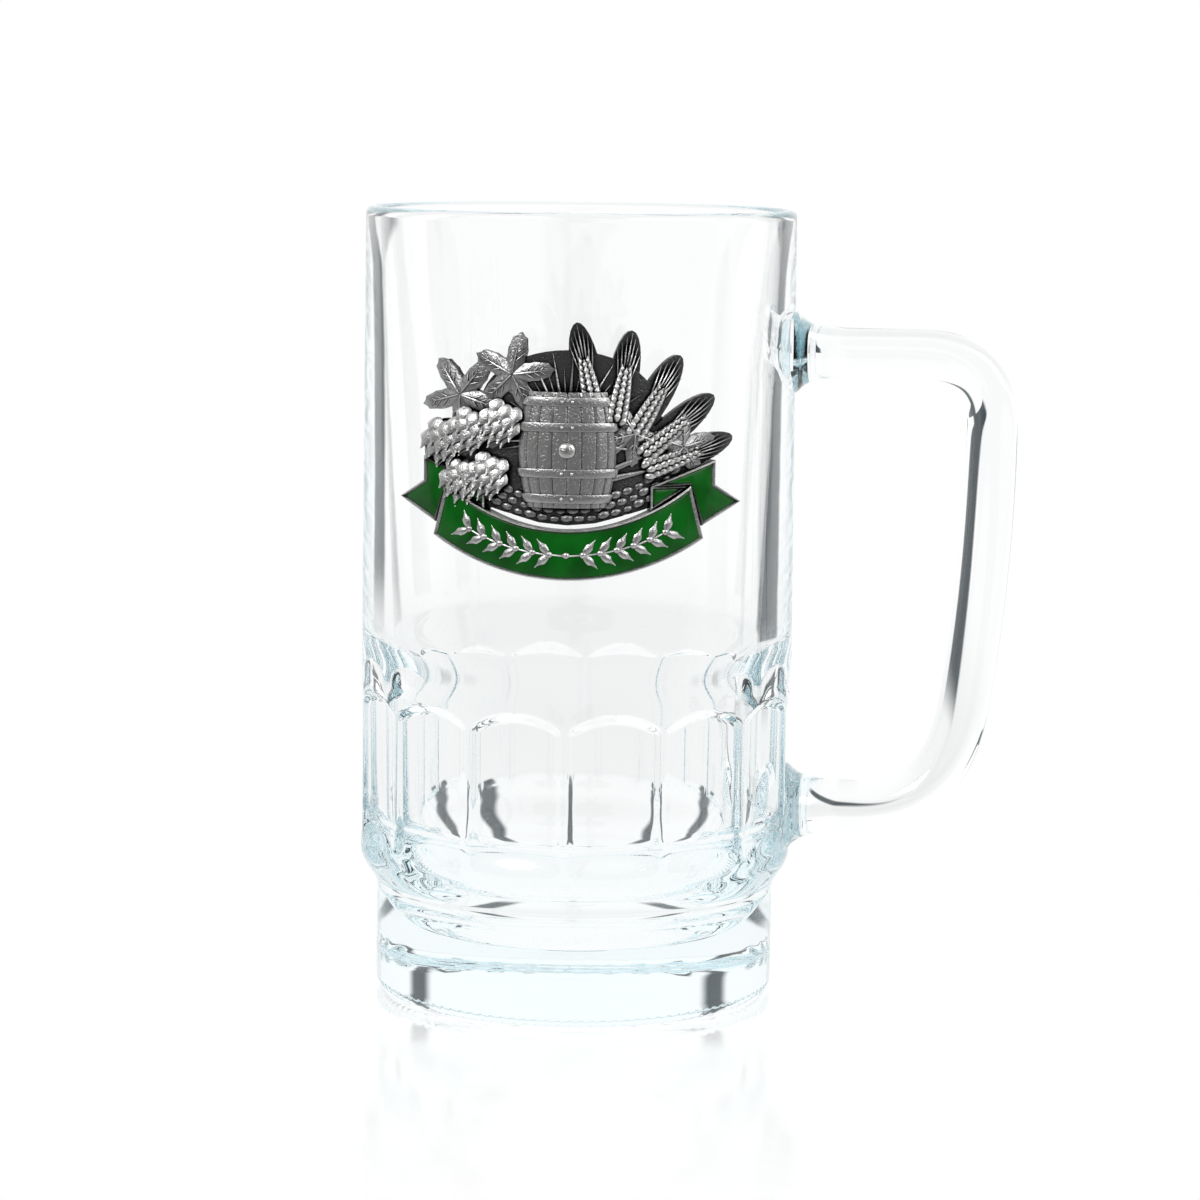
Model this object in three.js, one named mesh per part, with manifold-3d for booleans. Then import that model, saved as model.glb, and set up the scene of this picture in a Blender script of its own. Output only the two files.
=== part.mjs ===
// A clear glass beer mug with a fluted belt, an applied handle and a cast badge on its front.
// Millimetres, +Z up. The origin is on the mug's axis, in the plane it stands on.
// The badge faces -Y and the handle is on +X.
import * as THREE from 'three';
import { mergeVertices } from 'three/addons/utils/BufferGeometryUtils.js';
import Module from 'manifold-3d';

const wasm = await Module();
wasm.setup();

// Body, outside
const BODY_HEIGHT = 152;
const RIM_RADIUS = 41.3;
const BODY_RADIUS = 41.9;
const FOOT_RADIUS = 38.8;
const FOOT_HEIGHT = 20.3;
const FOOT_EDGE = 2.5;
const SHOULDER_HEIGHT = 27.5;

// Body, inside
const RIM_WALL = 2.6;
const RIM_ROUND = RIM_WALL / 2;
const WAIST_WALL = 5.9;
const WAIST_RISE = 11;
const BELT_WALL = 8.6;
const WELL_RADIUS = 25.5;
const FLOOR_RADIUS = 19;
const FLOOR_THICKNESS = 12;
const LEDGE_BOTTOM = 22;
const LEDGE_TOP = 36;

// Fluted belt
const FLUTE_COUNT = 14;
const FLUTE_BOTTOM = 30;
const FLUTE_TOP = 60;
const FLUTE_RISE = 3;
const FLUTE_DEPTH = 1.3;
const FLUTE_FLANK = 1.5;
const RIB_WIDTH = 3.6;

// Handle, as the middle line of the glass and its two thicknesses
const HANDLE_TOP = 124.9;
const HANDLE_BOTTOM = 36.6;
const HANDLE_REACH = 79.5;
const HANDLE_HEEL = 75.3;
const UPPER_BEND = 14;
const LOWER_BEND = 20;
const HANDLE_THICKNESS = 9.6;
const HANDLE_WIDTH = 13;
const PAD_FLARE = 3.4;
const PAD_LENGTH = 9;

// Badge, measured across its front and up from its own centre
const BADGE_CENTRE = 108.4;
const PLATE_THICKNESS = 1.2;
const PLATE_MARGIN = 0.4;
const ADHESIVE_THICKNESS = 0.5;
const ADHESIVE_WIDTH = 40;
const ADHESIVE_HEIGHT = 26;
const RIBBON_RADIUS = 43;
const RIBBON_DROP = 22.8;
const RIBBON_HEIGHT = 9.2;
const RIBBON_SPAN = 48;
const RIBBON_RISE = 1.5;
const FOLD_WIDTH = 6.8;
const TAIL_LENGTH = 9.2;
const TAIL_HEIGHT = 9;
const TAIL_DROP = 3.4;
const TAIL_TUCK = 2.3;
const TAIL_RISE = 0.9;
const ENAMEL_DEPTH = 0.7;
const ENAMEL_RIM = 0.5;
const BARREL_WIDTH = 18;
const BARREL_BULGE = 1.8;
const BARREL_HEIGHT = 21;
const BARREL_BASE = -9.5;
const BARREL_RISE = 2.4;
const HOOP_WIDTH = 1.6;
const HOOP_RISE = 0.3;
const CONE_LENGTH = 10;
const CONE_WIDTH = 7;
const CONE_RISE = 1.7;
const LEAF_RISE = 0.8;
const LEAF_LOBES = 5;
const LEAF_NOTCH = 0.3;
const EAR_LENGTH = 17;
const EAR_WIDTH = 4.6;
const EAR_RISE = 1.2;
const STALK_WIDTH = 1.2;
const STALK_FOOT = -6;

// Fits and facets
const CLEARANCE = 0.3;
const FACETS = 72;
const EDGE_STEPS = 3;
const CURVE_STEPS = 6;
const BEVEL_STEPS = 2;
const HANDLE_SIDES = 16;
const HANDLE_STEPS = 44;
const RIBBON_STEPS = 12;
const OVAL_SIDES = 12;
const LEAF_SIDES = 20;
const GROUND_SIDES = 24;
const WELD = 1e-4;
const SLIVER = 0.02;

const GLASS = { color: 0xeaf4f4, roughness: 0.03, metalness: 0, transparent: true, opacity: 0.35 };
const PEWTER = { color: 0x83858a, roughness: 0.42, metalness: 1 };
const ENAMEL = { color: 0x00500a, roughness: 0.12, metalness: 0 };
const FOAM_TAPE = { color: 0x3a3b3d, roughness: 0.85, metalness: 0 };

const point = (x, y) => new THREE.Vector2(x, y);

// A closed geometry as a solid that can be joined and cut
function solidOf(geometry) {
  const bare = geometry.clone();
  bare.deleteAttribute('normal');
  bare.deleteAttribute('uv');
  const merged = mergeVertices(bare, WELD);
  const corners = merged.index.array;
  const triangles = [];
  for (let i = 0; i < corners.length; i += 3) {
    const [a, b, c] = corners.slice(i, i + 3);
    if (a !== b && b !== c && c !== a) triangles.push(a, b, c);
  }
  return new wasm.Manifold(new wasm.Mesh({
    numProp: 3,
    vertProperties: Float32Array.from(merged.attributes.position.array),
    triVerts: Uint32Array.from(triangles),
  }));
}

// A solid back as a named mesh, without the slivers that joins and cuts leave
function meshOf(name, solid, finish) {
  const { vertProperties, triVerts } = solid.simplify(SLIVER).getMesh();
  const geometry = new THREE.BufferGeometry();
  geometry.setAttribute('position', new THREE.BufferAttribute(Float32Array.from(vertProperties), 3));
  geometry.setIndex(new THREE.BufferAttribute(Uint32Array.from(triVerts), 1));
  geometry.computeVertexNormals();
  const mesh = new THREE.Mesh(geometry, new THREE.MeshStandardMaterial(finish));
  mesh.name = name;
  return mesh;
}

// A profile of (radius, height) points turned about Z
function turned(profile) {
  return solidOf(new THREE.LatheGeometry(profile, FACETS).rotateX(Math.PI / 2));
}

// Points on a circular arc, both ends included
function arc(x, y, radius, from, to, steps) {
  return Array.from({ length: steps + 1 }, (_, i) => {
    const angle = from + ((to - from) * i) / steps;
    return point(x + radius * Math.cos(angle), y + radius * Math.sin(angle));
  });
}

// Outer radius of the plain wall above the belt
function bodyRadius(z) {
  const share = (z - FLUTE_TOP) / (BODY_HEIGHT - FLUTE_TOP);
  return THREE.MathUtils.lerp(BODY_RADIUS, RIM_RADIUS, THREE.MathUtils.clamp(share, 0, 1));
}

// Outside of the body from the middle of its underside to the rim, grown by a clearance
function outerProfile(grow) {
  const waist = BODY_RADIUS - FOOT_RADIUS;
  const shoulder = new THREE.CubicBezierCurve(
    point(FOOT_RADIUS + grow, FOOT_HEIGHT),
    point(FOOT_RADIUS + grow, FOOT_HEIGHT + waist / 2),
    point(BODY_RADIUS + grow, FOOT_HEIGHT + waist / 2),
    point(BODY_RADIUS + grow, SHOULDER_HEIGHT),
  );
  return [
    point(0, -grow),
    ...arc(FOOT_RADIUS - FOOT_EDGE, FOOT_EDGE, FOOT_EDGE + grow, -Math.PI / 2, 0, EDGE_STEPS),
    ...shoulder.getPoints(CURVE_STEPS),
    point(BODY_RADIUS + grow, FLUTE_TOP),
    point(RIM_RADIUS + grow, BODY_HEIGHT - RIM_ROUND),
  ];
}

// Inside of the body from the rim down to the middle of its floor
function innerProfile() {
  const ledge = new THREE.CubicBezierCurve(
    point(BODY_RADIUS - BELT_WALL, LEDGE_TOP),
    point(BODY_RADIUS - BELT_WALL, (LEDGE_TOP + LEDGE_BOTTOM) / 2),
    point(WELL_RADIUS, (LEDGE_TOP + LEDGE_BOTTOM) / 2),
    point(WELL_RADIUS, LEDGE_BOTTOM),
  );
  const width = WELL_RADIUS - FLOOR_RADIUS;
  const depth = LEDGE_BOTTOM - FLOOR_THICKNESS;
  const bowl = new THREE.EllipseCurve(FLOOR_RADIUS, LEDGE_BOTTOM, width, depth, 0, -Math.PI / 2, true);
  return [
    point(RIM_RADIUS - RIM_WALL, BODY_HEIGHT - RIM_ROUND),
    point(BODY_RADIUS - WAIST_WALL, FLUTE_TOP + WAIST_RISE),
    point(BODY_RADIUS - BELT_WALL, FLUTE_TOP),
    ...ledge.getPoints(CURVE_STEPS),
    ...bowl.getPoints(CURVE_STEPS).slice(1),
    point(0, FLOOR_THICKNESS),
  ];
}

// Arched outline of one flute, across and up
function fluteOutline() {
  const half = BODY_RADIUS * Math.sin(Math.PI / FLUTE_COUNT) - RIB_WIDTH / 2;
  const spring = FLUTE_TOP - FLUTE_RISE;
  const outline = new THREE.Shape();
  outline.moveTo(-half, FLUTE_BOTTOM);
  outline.lineTo(half, FLUTE_BOTTOM);
  outline.lineTo(half, spring);
  outline.quadraticCurveTo(0, spring + 2 * FLUTE_RISE, -half, spring);
  return outline;
}

// All the flutes as one cutter, for a body grown by a clearance
function fluteCutter(grow) {
  const floor = BODY_RADIUS - FLUTE_DEPTH + grow;
  const flute = new THREE.ExtrudeGeometry(fluteOutline(), {
    depth: FLUTE_DEPTH + 2 * CLEARANCE + grow,
    curveSegments: CURVE_STEPS,
    bevelThickness: FLUTE_DEPTH,
    bevelSize: FLUTE_FLANK,
    bevelOffset: -FLUTE_FLANK,
    bevelSegments: BEVEL_STEPS,
  });
  flute.rotateX(Math.PI / 2).translate(0, -floor - FLUTE_DEPTH, 0);
  const cutters = Array.from({ length: FLUTE_COUNT }, (_, i) => {
    const turn = ((i + 0.5) * 2 * Math.PI) / FLUTE_COUNT;
    return solidOf(flute.clone().rotateZ(turn));
  });
  return wasm.Manifold.union(cutters);
}

function glassBody() {
  const top = BODY_HEIGHT - RIM_ROUND;
  const rim = arc(RIM_RADIUS - RIM_ROUND, top, RIM_ROUND, 0, Math.PI, CURVE_STEPS).slice(1, -1);
  const profile = [...outerProfile(0), ...rim, ...innerProfile()];
  return turned(profile).subtract(fluteCutter(0));
}

// The room that the body takes up, with the clearance that its neighbours keep
function bodyRoom() {
  const profile = [...outerProfile(CLEARANCE), point(0, BODY_HEIGHT)];
  return turned(profile).subtract(fluteCutter(CLEARANCE));
}

// Middle line of the handle, from inside the wall at its top to inside the wall at its bottom
function handlePath() {
  const root = BODY_RADIUS - FLUTE_DEPTH - PAD_FLARE;
  const at = (x, z) => new THREE.Vector3(x, 0, z);
  const gripTop = HANDLE_TOP - UPPER_BEND;
  const gripBottom = HANDLE_BOTTOM + LOWER_BEND;
  const heelEnd = HANDLE_HEEL - LOWER_BEND;
  const lean = (HANDLE_REACH - HANDLE_HEEL) / (gripTop - gripBottom);
  const path = new THREE.CurvePath();
  path.add(new THREE.LineCurve3(at(root, HANDLE_TOP), at(HANDLE_REACH - UPPER_BEND, HANDLE_TOP)));
  path.add(new THREE.QuadraticBezierCurve3(
    at(HANDLE_REACH - UPPER_BEND, HANDLE_TOP),
    at(HANDLE_REACH, HANDLE_TOP),
    at(HANDLE_REACH, gripTop),
  ));
  path.add(new THREE.QuadraticBezierCurve3(
    at(HANDLE_REACH, gripTop),
    at(HANDLE_REACH, (gripTop + gripBottom) / 2),
    at(HANDLE_HEEL, gripBottom),
  ));
  path.add(new THREE.QuadraticBezierCurve3(
    at(HANDLE_HEEL, gripBottom),
    at(HANDLE_HEEL - 2 * lean * LOWER_BEND, HANDLE_BOTTOM),
    at(heelEnd, HANDLE_BOTTOM),
  ));
  path.add(new THREE.LineCurve3(at(heelEnd, HANDLE_BOTTOM), at(root, HANDLE_BOTTOM)));
  return path;
}

// How much the glass swells into a pad, by its distance from the wall
function padSwell(distance) {
  const share = THREE.MathUtils.clamp(1 - distance / PAD_LENGTH, 0, 1);
  return PAD_FLARE * (1 - Math.sqrt(1 - share * share));
}

// Oval sections along the middle line, closed at both ends
function handleRod() {
  const path = handlePath();
  const positions = [];
  const index = [];
  for (let step = 0; step <= HANDLE_STEPS; step += 1) {
    const middle = path.getPointAt(step / HANDLE_STEPS);
    const along = path.getTangentAt(step / HANDLE_STEPS);
    const swell = padSwell(middle.x - BODY_RADIUS);
    for (let side = 0; side < HANDLE_SIDES; side += 1) {
      const angle = (2 * Math.PI * side) / HANDLE_SIDES;
      const inPlane = (HANDLE_THICKNESS / 2 + swell) * Math.cos(angle);
      const across = (HANDLE_WIDTH / 2 + swell) * Math.sin(angle);
      positions.push(middle.x - along.z * inPlane, across, middle.z + along.x * inPlane);
    }
  }
  const ends = [0, HANDLE_STEPS].map((step) => {
    positions.push(...path.getPointAt(step / HANDLE_STEPS).toArray());
    return positions.length / 3 - 1;
  });
  for (let side = 0; side < HANDLE_SIDES; side += 1) {
    const next = (side + 1) % HANDLE_SIDES;
    const last = HANDLE_STEPS * HANDLE_SIDES;
    index.push(ends[0], side, next, ends[1], last + next, last + side);
    for (let row = 0; row < last; row += HANDLE_SIDES) {
      const above = row + HANDLE_SIDES;
      index.push(row + side, above + side, above + next, row + side, above + next, row + next);
    }
  }
  const rod = new THREE.BufferGeometry();
  rod.setAttribute('position', new THREE.Float32BufferAttribute(positions, 3));
  rod.setIndex(index);
  return solidOf(rod);
}

// A ring round the body's wall at badge height, between two distances from that wall
function wallRing(inner, outer) {
  const reach = RIBBON_RADIUS;
  const bottom = BADGE_CENTRE - reach;
  const top = BADGE_CENTRE + reach;
  return turned([
    point(bodyRadius(bottom) + inner, bottom),
    point(bodyRadius(bottom) + outer, bottom),
    point(bodyRadius(top) + outer, top),
    point(bodyRadius(top) + inner, top),
    point(bodyRadius(bottom) + inner, bottom),
  ]);
}

// An outline on the badge's face as a block that runs through the wall
function blockOf(outline) {
  const block = new THREE.ExtrudeGeometry(new THREE.Shape(outline), {
    depth: BODY_RADIUS + RIBBON_RADIUS,
    bevelEnabled: false,
  });
  return solidOf(block.rotateX(Math.PI / 2).translate(0, 0, BADGE_CENTRE));
}

// Outlines on the badge's face, laid on the wall between two distances from it
function laidOn(outlines, inner, outer) {
  return wasm.Manifold.union(outlines.map(blockOf)).intersect(wallRing(inner, outer));
}

// A closed outline drawn in by a distance
function inset(outline, distance) {
  const turn = Math.sign(THREE.ShapeUtils.area(outline));
  return outline.map((corner, i) => {
    const before = outline[(i + outline.length - 1) % outline.length];
    const after = outline[(i + 1) % outline.length];
    const a = corner.clone().sub(before).normalize();
    const b = after.clone().sub(corner).normalize();
    const inward = point(-a.y - b.y, a.x + b.x).multiplyScalar(turn * distance);
    return corner.clone().add(inward.divideScalar(1 + a.dot(b)));
  });
}

const mirrored = (outline) => outline.map((p) => point(-p.x, p.y)).reverse();

// The ribbon's front panel, a band that hangs in a bow
function ribbonFront() {
  const centre = RIBBON_RADIUS - RIBBON_DROP;
  const upper = RIBBON_RADIUS - RIBBON_HEIGHT;
  const lowEnd = Math.asin(RIBBON_SPAN / 2 / RIBBON_RADIUS);
  const highEnd = Math.asin((RIBBON_SPAN - RIBBON_HEIGHT / 2) / 2 / upper);
  const down = -Math.PI / 2;
  return [
    ...arc(0, centre, RIBBON_RADIUS, down - lowEnd, down + lowEnd, RIBBON_STEPS),
    ...arc(0, centre, upper, down + highEnd, down - highEnd, RIBBON_STEPS),
  ];
}

// The ribbon's right fold and tail, set out from the front panel's upper corner, and the back that carries
// both and runs on under the front panel
function ribbonRight() {
  const front = ribbonFront();
  const low = front[RIBBON_STEPS];
  const corner = front[RIBBON_STEPS + 1];
  const from = (x, y) => point(corner.x + x, corner.y + y);
  const centre = RIBBON_RADIUS - RIBBON_DROP;
  const foldX = corner.x - FOLD_WIDTH;
  const foldFoot = centre - Math.sqrt((RIBBON_RADIUS - RIBBON_HEIGHT) ** 2 - foldX ** 2);
  const fold = [from(0, 0), point(foldX, corner.y), point(foldX, foldFoot)];
  const tail = [
    point(foldX, corner.y),
    from(TAIL_LENGTH / 2, TAIL_HEIGHT / 2),
    from(TAIL_LENGTH / 2, 0),
    from(TAIL_LENGTH, -TAIL_DROP),
    point(low.x, low.y + TAIL_TUCK),
    from(0, 0),
  ];
  const back = [
    ...tail.slice(0, -2),
    point(low.x - TAIL_TUCK, low.y + TAIL_TUCK),
    point(foldX, foldFoot - TAIL_TUCK),
  ];
  return { fold, tail, back };
}

// A cask seen from its side
function barrelOutline() {
  const half = BARREL_WIDTH / 2 - BARREL_BULGE;
  const top = BARREL_BASE + BARREL_HEIGHT;
  const outline = new THREE.Shape();
  outline.moveTo(-half, BARREL_BASE);
  outline.lineTo(half, BARREL_BASE);
  outline.quadraticCurveTo(half + 2 * BARREL_BULGE, (BARREL_BASE + top) / 2, half, top);
  outline.lineTo(-half, top);
  outline.quadraticCurveTo(-half - 2 * BARREL_BULGE, (BARREL_BASE + top) / 2, -half, BARREL_BASE);
  return outline.getPoints(CURVE_STEPS).slice(0, -1);
}

// An ellipse with its foot at a place and its tip along an angle from straight up
function blade(x, y, angle, length, width, steps) {
  return Array.from({ length: steps }, (_, i) => {
    const turn = (2 * Math.PI * i) / steps;
    const side = (width / 2) * Math.cos(turn);
    const along = (length / 2) * (1 + Math.sin(turn));
    return point(
      x + side * Math.cos(angle) + along * Math.sin(angle),
      y - side * Math.sin(angle) + along * Math.cos(angle),
    );
  });
}

// A lobed leaf
function leaf(x, y, angle, size) {
  return Array.from({ length: LEAF_SIDES }, (_, i) => {
    const turn = (2 * Math.PI * i) / LEAF_SIDES;
    const radius = size * (1 - LEAF_NOTCH + LEAF_NOTCH * Math.cos(LEAF_LOBES * turn));
    return point(x + radius * Math.sin(turn + angle), y + radius * Math.cos(turn + angle));
  });
}

// Places on the badge: x, y, then the angle from straight up in degrees and, for a leaf, its size
const CONES = [[-10.5, 9, 205], [-16.5, 7.5, 200], [-22, 5.5, 190], [-13, -0.5, 200], [-18.5, -1.5, 190]];
const LEAVES = [[-19.5, 10.5, -35, 7.5], [-10, 14.5, 10, 7.5], [12, 4, 40, 6], [20.5, 1.5, 75, 6]];
const EARS = [[5, 7, -12], [8.5, 5.5, 10], [11.5, 3, 30], [13, -0.5, 50], [13.5, -3, 70]];
const HOOP_PLACES = [0.08, 0.3, 0.7, 0.92];
const GROUND = [[0, -2, 46, 20], [0, 9, 32, 20]];

const radians = THREE.MathUtils.degToRad;

const TAPE_BACK = CLEARANCE;
const PLATE_BACK = TAPE_BACK + ADHESIVE_THICKNESS + CLEARANCE;
const PLATE_FACE = PLATE_BACK + PLATE_THICKNESS;
const PLATE_MIDDLE = PLATE_BACK + PLATE_THICKNESS / 2;

// Outlines of the relief, grouped by their height above the plate
function reliefForms() {
  const { back } = ribbonRight();
  const leaves = LEAVES.map(([x, y, angle, size]) => leaf(x, y, radians(angle), size));
  const stalks = EARS.map(([x, y]) => {
    const rise = y - STALK_FOOT;
    const length = Math.hypot(x, rise) + EAR_WIDTH / 2;
    return blade(0, STALK_FOOT, Math.atan2(x, rise), length, STALK_WIDTH, OVAL_SIDES);
  });
  const ears = EARS.map(([x, y, angle]) => blade(x, y, radians(angle), EAR_LENGTH, EAR_WIDTH, OVAL_SIDES));
  const cones = CONES.map(([x, y, angle]) => {
    return blade(x, y, radians(angle), CONE_LENGTH, CONE_WIDTH, OVAL_SIDES);
  });
  return [
    { outlines: [...leaves, ...stalks], rise: LEAF_RISE },
    { outlines: [back, mirrored(back)], rise: TAIL_RISE },
    { outlines: ears, rise: EAR_RISE },
    { outlines: [ribbonFront()], rise: RIBBON_RISE },
    { outlines: cones, rise: CONE_RISE },
    { outlines: [barrelOutline()], rise: BARREL_RISE },
  ];
}

// The hoops, as bands on the cask that stand a little proud of it
function barrelHoops() {
  const reach = BARREL_WIDTH;
  const bands = HOOP_PLACES.map((share) => {
    const low = BARREL_BASE + share * BARREL_HEIGHT - HOOP_WIDTH / 2;
    const high = low + HOOP_WIDTH;
    return [point(-reach, low), point(reach, low), point(reach, high), point(-reach, high)];
  });
  const proud = inset(barrelOutline(), -HOOP_RISE);
  const top = PLATE_FACE + BARREL_RISE + HOOP_RISE;
  return laidOn(bands, PLATE_MIDDLE, top).intersect(laidOn([proud], PLATE_MIDDLE, top));
}

// One casting: a plate that follows the outlines with a margin, and the relief standing on it
function badgeCasting() {
  const forms = reliefForms();
  const ground = GROUND.map(([x, y, width, height]) => {
    return blade(x, y - height / 2, 0, height, width, GROUND_SIDES);
  });
  const edges = forms.flatMap(({ outlines }) => outlines.map((outline) => inset(outline, -PLATE_MARGIN)));
  const plate = laidOn([...ground, ...edges], PLATE_BACK, PLATE_FACE);
  const relief = forms.map(({ outlines, rise }) => laidOn(outlines, PLATE_MIDDLE, PLATE_FACE + rise));
  const beds = enamelBeds().map(({ outline, top }) => {
    return laidOn([outline], PLATE_FACE + top - ENAMEL_DEPTH, PLATE_FACE + BARREL_RISE);
  });
  return wasm.Manifold.union([plate, ...relief, barrelHoops()]).subtract(wasm.Manifold.union(beds));
}

// The ribbon's sunk beds, each with the height of its own edge
function enamelBeds() {
  const { fold, tail } = ribbonRight();
  const beds = [
    { name: 'enamel_front', outline: ribbonFront(), top: RIBBON_RISE },
    { name: 'enamel_left_fold', outline: mirrored(fold), top: TAIL_RISE },
    { name: 'enamel_right_fold', outline: fold, top: TAIL_RISE },
    { name: 'enamel_left_tail', outline: mirrored(tail), top: TAIL_RISE },
    { name: 'enamel_right_tail', outline: tail, top: TAIL_RISE },
  ];
  return beds.map((bed) => ({ ...bed, outline: inset(bed.outline, ENAMEL_RIM) }));
}

function enamelFills() {
  return enamelBeds().map(({ name, outline, top }) => {
    const floor = PLATE_FACE + top - ENAMEL_DEPTH;
    const fill = laidOn([inset(outline, CLEARANCE)], floor + CLEARANCE, PLATE_FACE + top);
    return meshOf(name, fill, ENAMEL);
  });
}

function badgeAdhesive() {
  const pad = blade(0, -ADHESIVE_HEIGHT / 2, 0, ADHESIVE_HEIGHT, ADHESIVE_WIDTH, GROUND_SIDES);
  return laidOn([pad], TAPE_BACK, TAPE_BACK + ADHESIVE_THICKNESS);
}

const badge = new THREE.Group();
badge.add(meshOf('badge_casting', badgeCasting(), PEWTER));
badge.add(meshOf('badge_adhesive', badgeAdhesive(), FOAM_TAPE));
badge.add(...enamelFills());

const mug = new THREE.Group();
mug.add(meshOf('glass_body', glassBody(), GLASS));
mug.add(meshOf('handle', handleRod().subtract(bodyRoom()), GLASS));
mug.add(badge);

export default mug;
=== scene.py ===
"""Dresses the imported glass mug: the fused glass, the relief badge, its enamel and a white studio."""

from __future__ import annotations

import logging
import math
from dataclasses import dataclass, field
from enum import Enum
from typing import Callable, Sequence

import bpy
from mathutils import Matrix, Quaternion, Vector

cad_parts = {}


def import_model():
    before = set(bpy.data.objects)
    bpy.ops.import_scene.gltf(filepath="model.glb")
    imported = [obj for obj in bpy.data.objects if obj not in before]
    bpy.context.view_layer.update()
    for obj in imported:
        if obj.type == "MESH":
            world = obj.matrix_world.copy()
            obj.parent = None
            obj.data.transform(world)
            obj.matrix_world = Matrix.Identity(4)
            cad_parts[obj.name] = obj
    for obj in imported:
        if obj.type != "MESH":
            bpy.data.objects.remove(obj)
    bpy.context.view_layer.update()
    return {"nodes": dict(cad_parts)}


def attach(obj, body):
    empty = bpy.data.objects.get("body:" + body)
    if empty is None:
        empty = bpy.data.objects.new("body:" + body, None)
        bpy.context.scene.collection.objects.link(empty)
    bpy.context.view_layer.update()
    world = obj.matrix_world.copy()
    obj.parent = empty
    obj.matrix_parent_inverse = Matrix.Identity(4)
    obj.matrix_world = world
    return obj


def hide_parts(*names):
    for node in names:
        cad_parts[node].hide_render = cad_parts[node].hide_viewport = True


LOG = logging.getLogger("mug")
MM = 0.001
BODY = "root"
RISE = "rise"
PHOTO_SIDE = 1200
MERGE_DISTANCE = 1e-7
LEAST_CHANGE = 1e-6
SEED_SEGMENTS = 10
SEED_RINGS = 8
TIP_STARTS = (0.55, 0.8)

Value = bpy.types.NodeSocket | float | Sequence[float]
Point = tuple[float, float]
Colour = tuple[float, float, float]
Place = tuple[float, float, float]
Seed = tuple[float, float, float, float]


class Slot(Enum):
    """The record's material slots."""

    GLASS = "clear_glass"
    PEWTER = "pewter"
    ENAMEL = "green_enamel"
    TAPE = "bonding_tape"


# Modelling helpers


def deselect_all() -> None:
    """Leaves object mode and deselects every object."""
    if bpy.context.object and bpy.context.object.mode != "OBJECT":
        bpy.ops.object.mode_set(mode="OBJECT")
    bpy.ops.object.select_all(action="DESELECT")


def activate(piece: bpy.types.Object) -> None:
    """Makes one object the only selected and active one.

    Args:
        piece: the object to select.
    """
    deselect_all()
    piece.select_set(True)
    bpy.context.view_layer.objects.active = piece


def apply_modifier(piece: bpy.types.Object, kind: str, **settings: object) -> None:
    """Adds a modifier to a piece and applies it.

    Args:
        piece: the object to change.
        kind: Blender's name for the kind of modifier.
        settings: the modifier's own settings.
    """
    activate(piece)
    modifier = piece.modifiers.new(kind.title(), kind)
    for name, value in settings.items():
        setattr(modifier, name, value)
    bpy.ops.object.modifier_apply(modifier=modifier.name)


def arc_points(centre: Point, radius: float, start: float, end: float, steps: int) -> list[Point]:
    """Points along a circular arc.

    Args:
        centre: the arc's centre.
        radius: its radius.
        start: the first angle in degrees.
        end: the last angle in degrees.
        steps: how many steps lie between them.

    Returns:
        The points, both ends included.
    """
    angles = (math.radians(start + (end - start) * i / steps) for i in range(steps + 1))
    return [(centre[0] + radius * math.cos(a), centre[1] + radius * math.sin(a)) for a in angles]


def s_curve(start: Point, end: Point, steps: int) -> list[Point]:
    """Points on a curve that leaves and meets its ends upright.

    Args:
        start: the first point.
        end: the last point.
        steps: how many steps lie between them.

    Returns:
        The points, both ends included.
    """
    points = []
    for i in range(steps + 1):
        share = i / steps
        ease = share * share * (3 - 2 * share)
        points.append((start[0] + (end[0] - start[0]) * ease, start[1] + (end[1] - start[1]) * share))
    return points


def run(start: Point, end: Point, steps: int) -> list[Point]:
    """Evenly spaced points between two points, both ends included."""
    shares = (i / steps for i in range(steps + 1))
    return [(start[0] + (end[0] - start[0]) * s, start[1] + (end[1] - start[1]) * s) for s in shares]


def draw_line(name: str, corners: Sequence[Sequence[float]]) -> bpy.types.Object:
    """Draws edges from corner to corner, selects them and stays in edit mode.

    Args:
        name: the new object's name.
        corners: the corners in order.

    Returns:
        The new object, at the origin.
    """
    deselect_all()
    bpy.ops.mesh.primitive_plane_add(size=MM)
    piece = bpy.context.object
    piece.name = piece.data.name = name
    bpy.ops.object.mode_set(mode="EDIT")
    bpy.ops.mesh.merge(type="CENTER")
    bpy.ops.transform.translate(value=corners[0])
    for here, there in zip(corners, corners[1:]):
        step = [b - a for a, b in zip(here, there)]
        bpy.ops.mesh.extrude_vertices_move(TRANSFORM_OT_translate={"value": step})
    bpy.ops.mesh.select_all(action="SELECT")
    return piece


def face_outwards() -> None:
    """Turns every face of the mesh in edit mode outwards and leaves edit mode."""
    bpy.ops.mesh.select_all(action="SELECT")
    bpy.ops.mesh.normals_make_consistent(inside=False)
    bpy.ops.object.mode_set(mode="OBJECT")


def smooth(piece: bpy.types.Object, angle: float) -> None:
    """Shades a piece smooth, apart from its sharper edges.

    Args:
        piece: the object to shade.
        angle: the angle in degrees from which an edge stays sharp.
    """
    activate(piece)
    bpy.ops.object.shade_smooth_by_angle(angle=math.radians(angle))


def discard(*patterns: bpy.types.Object) -> None:
    """Removes objects that have served their turn."""
    for pattern in patterns:
        bpy.data.objects.remove(pattern)


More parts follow.
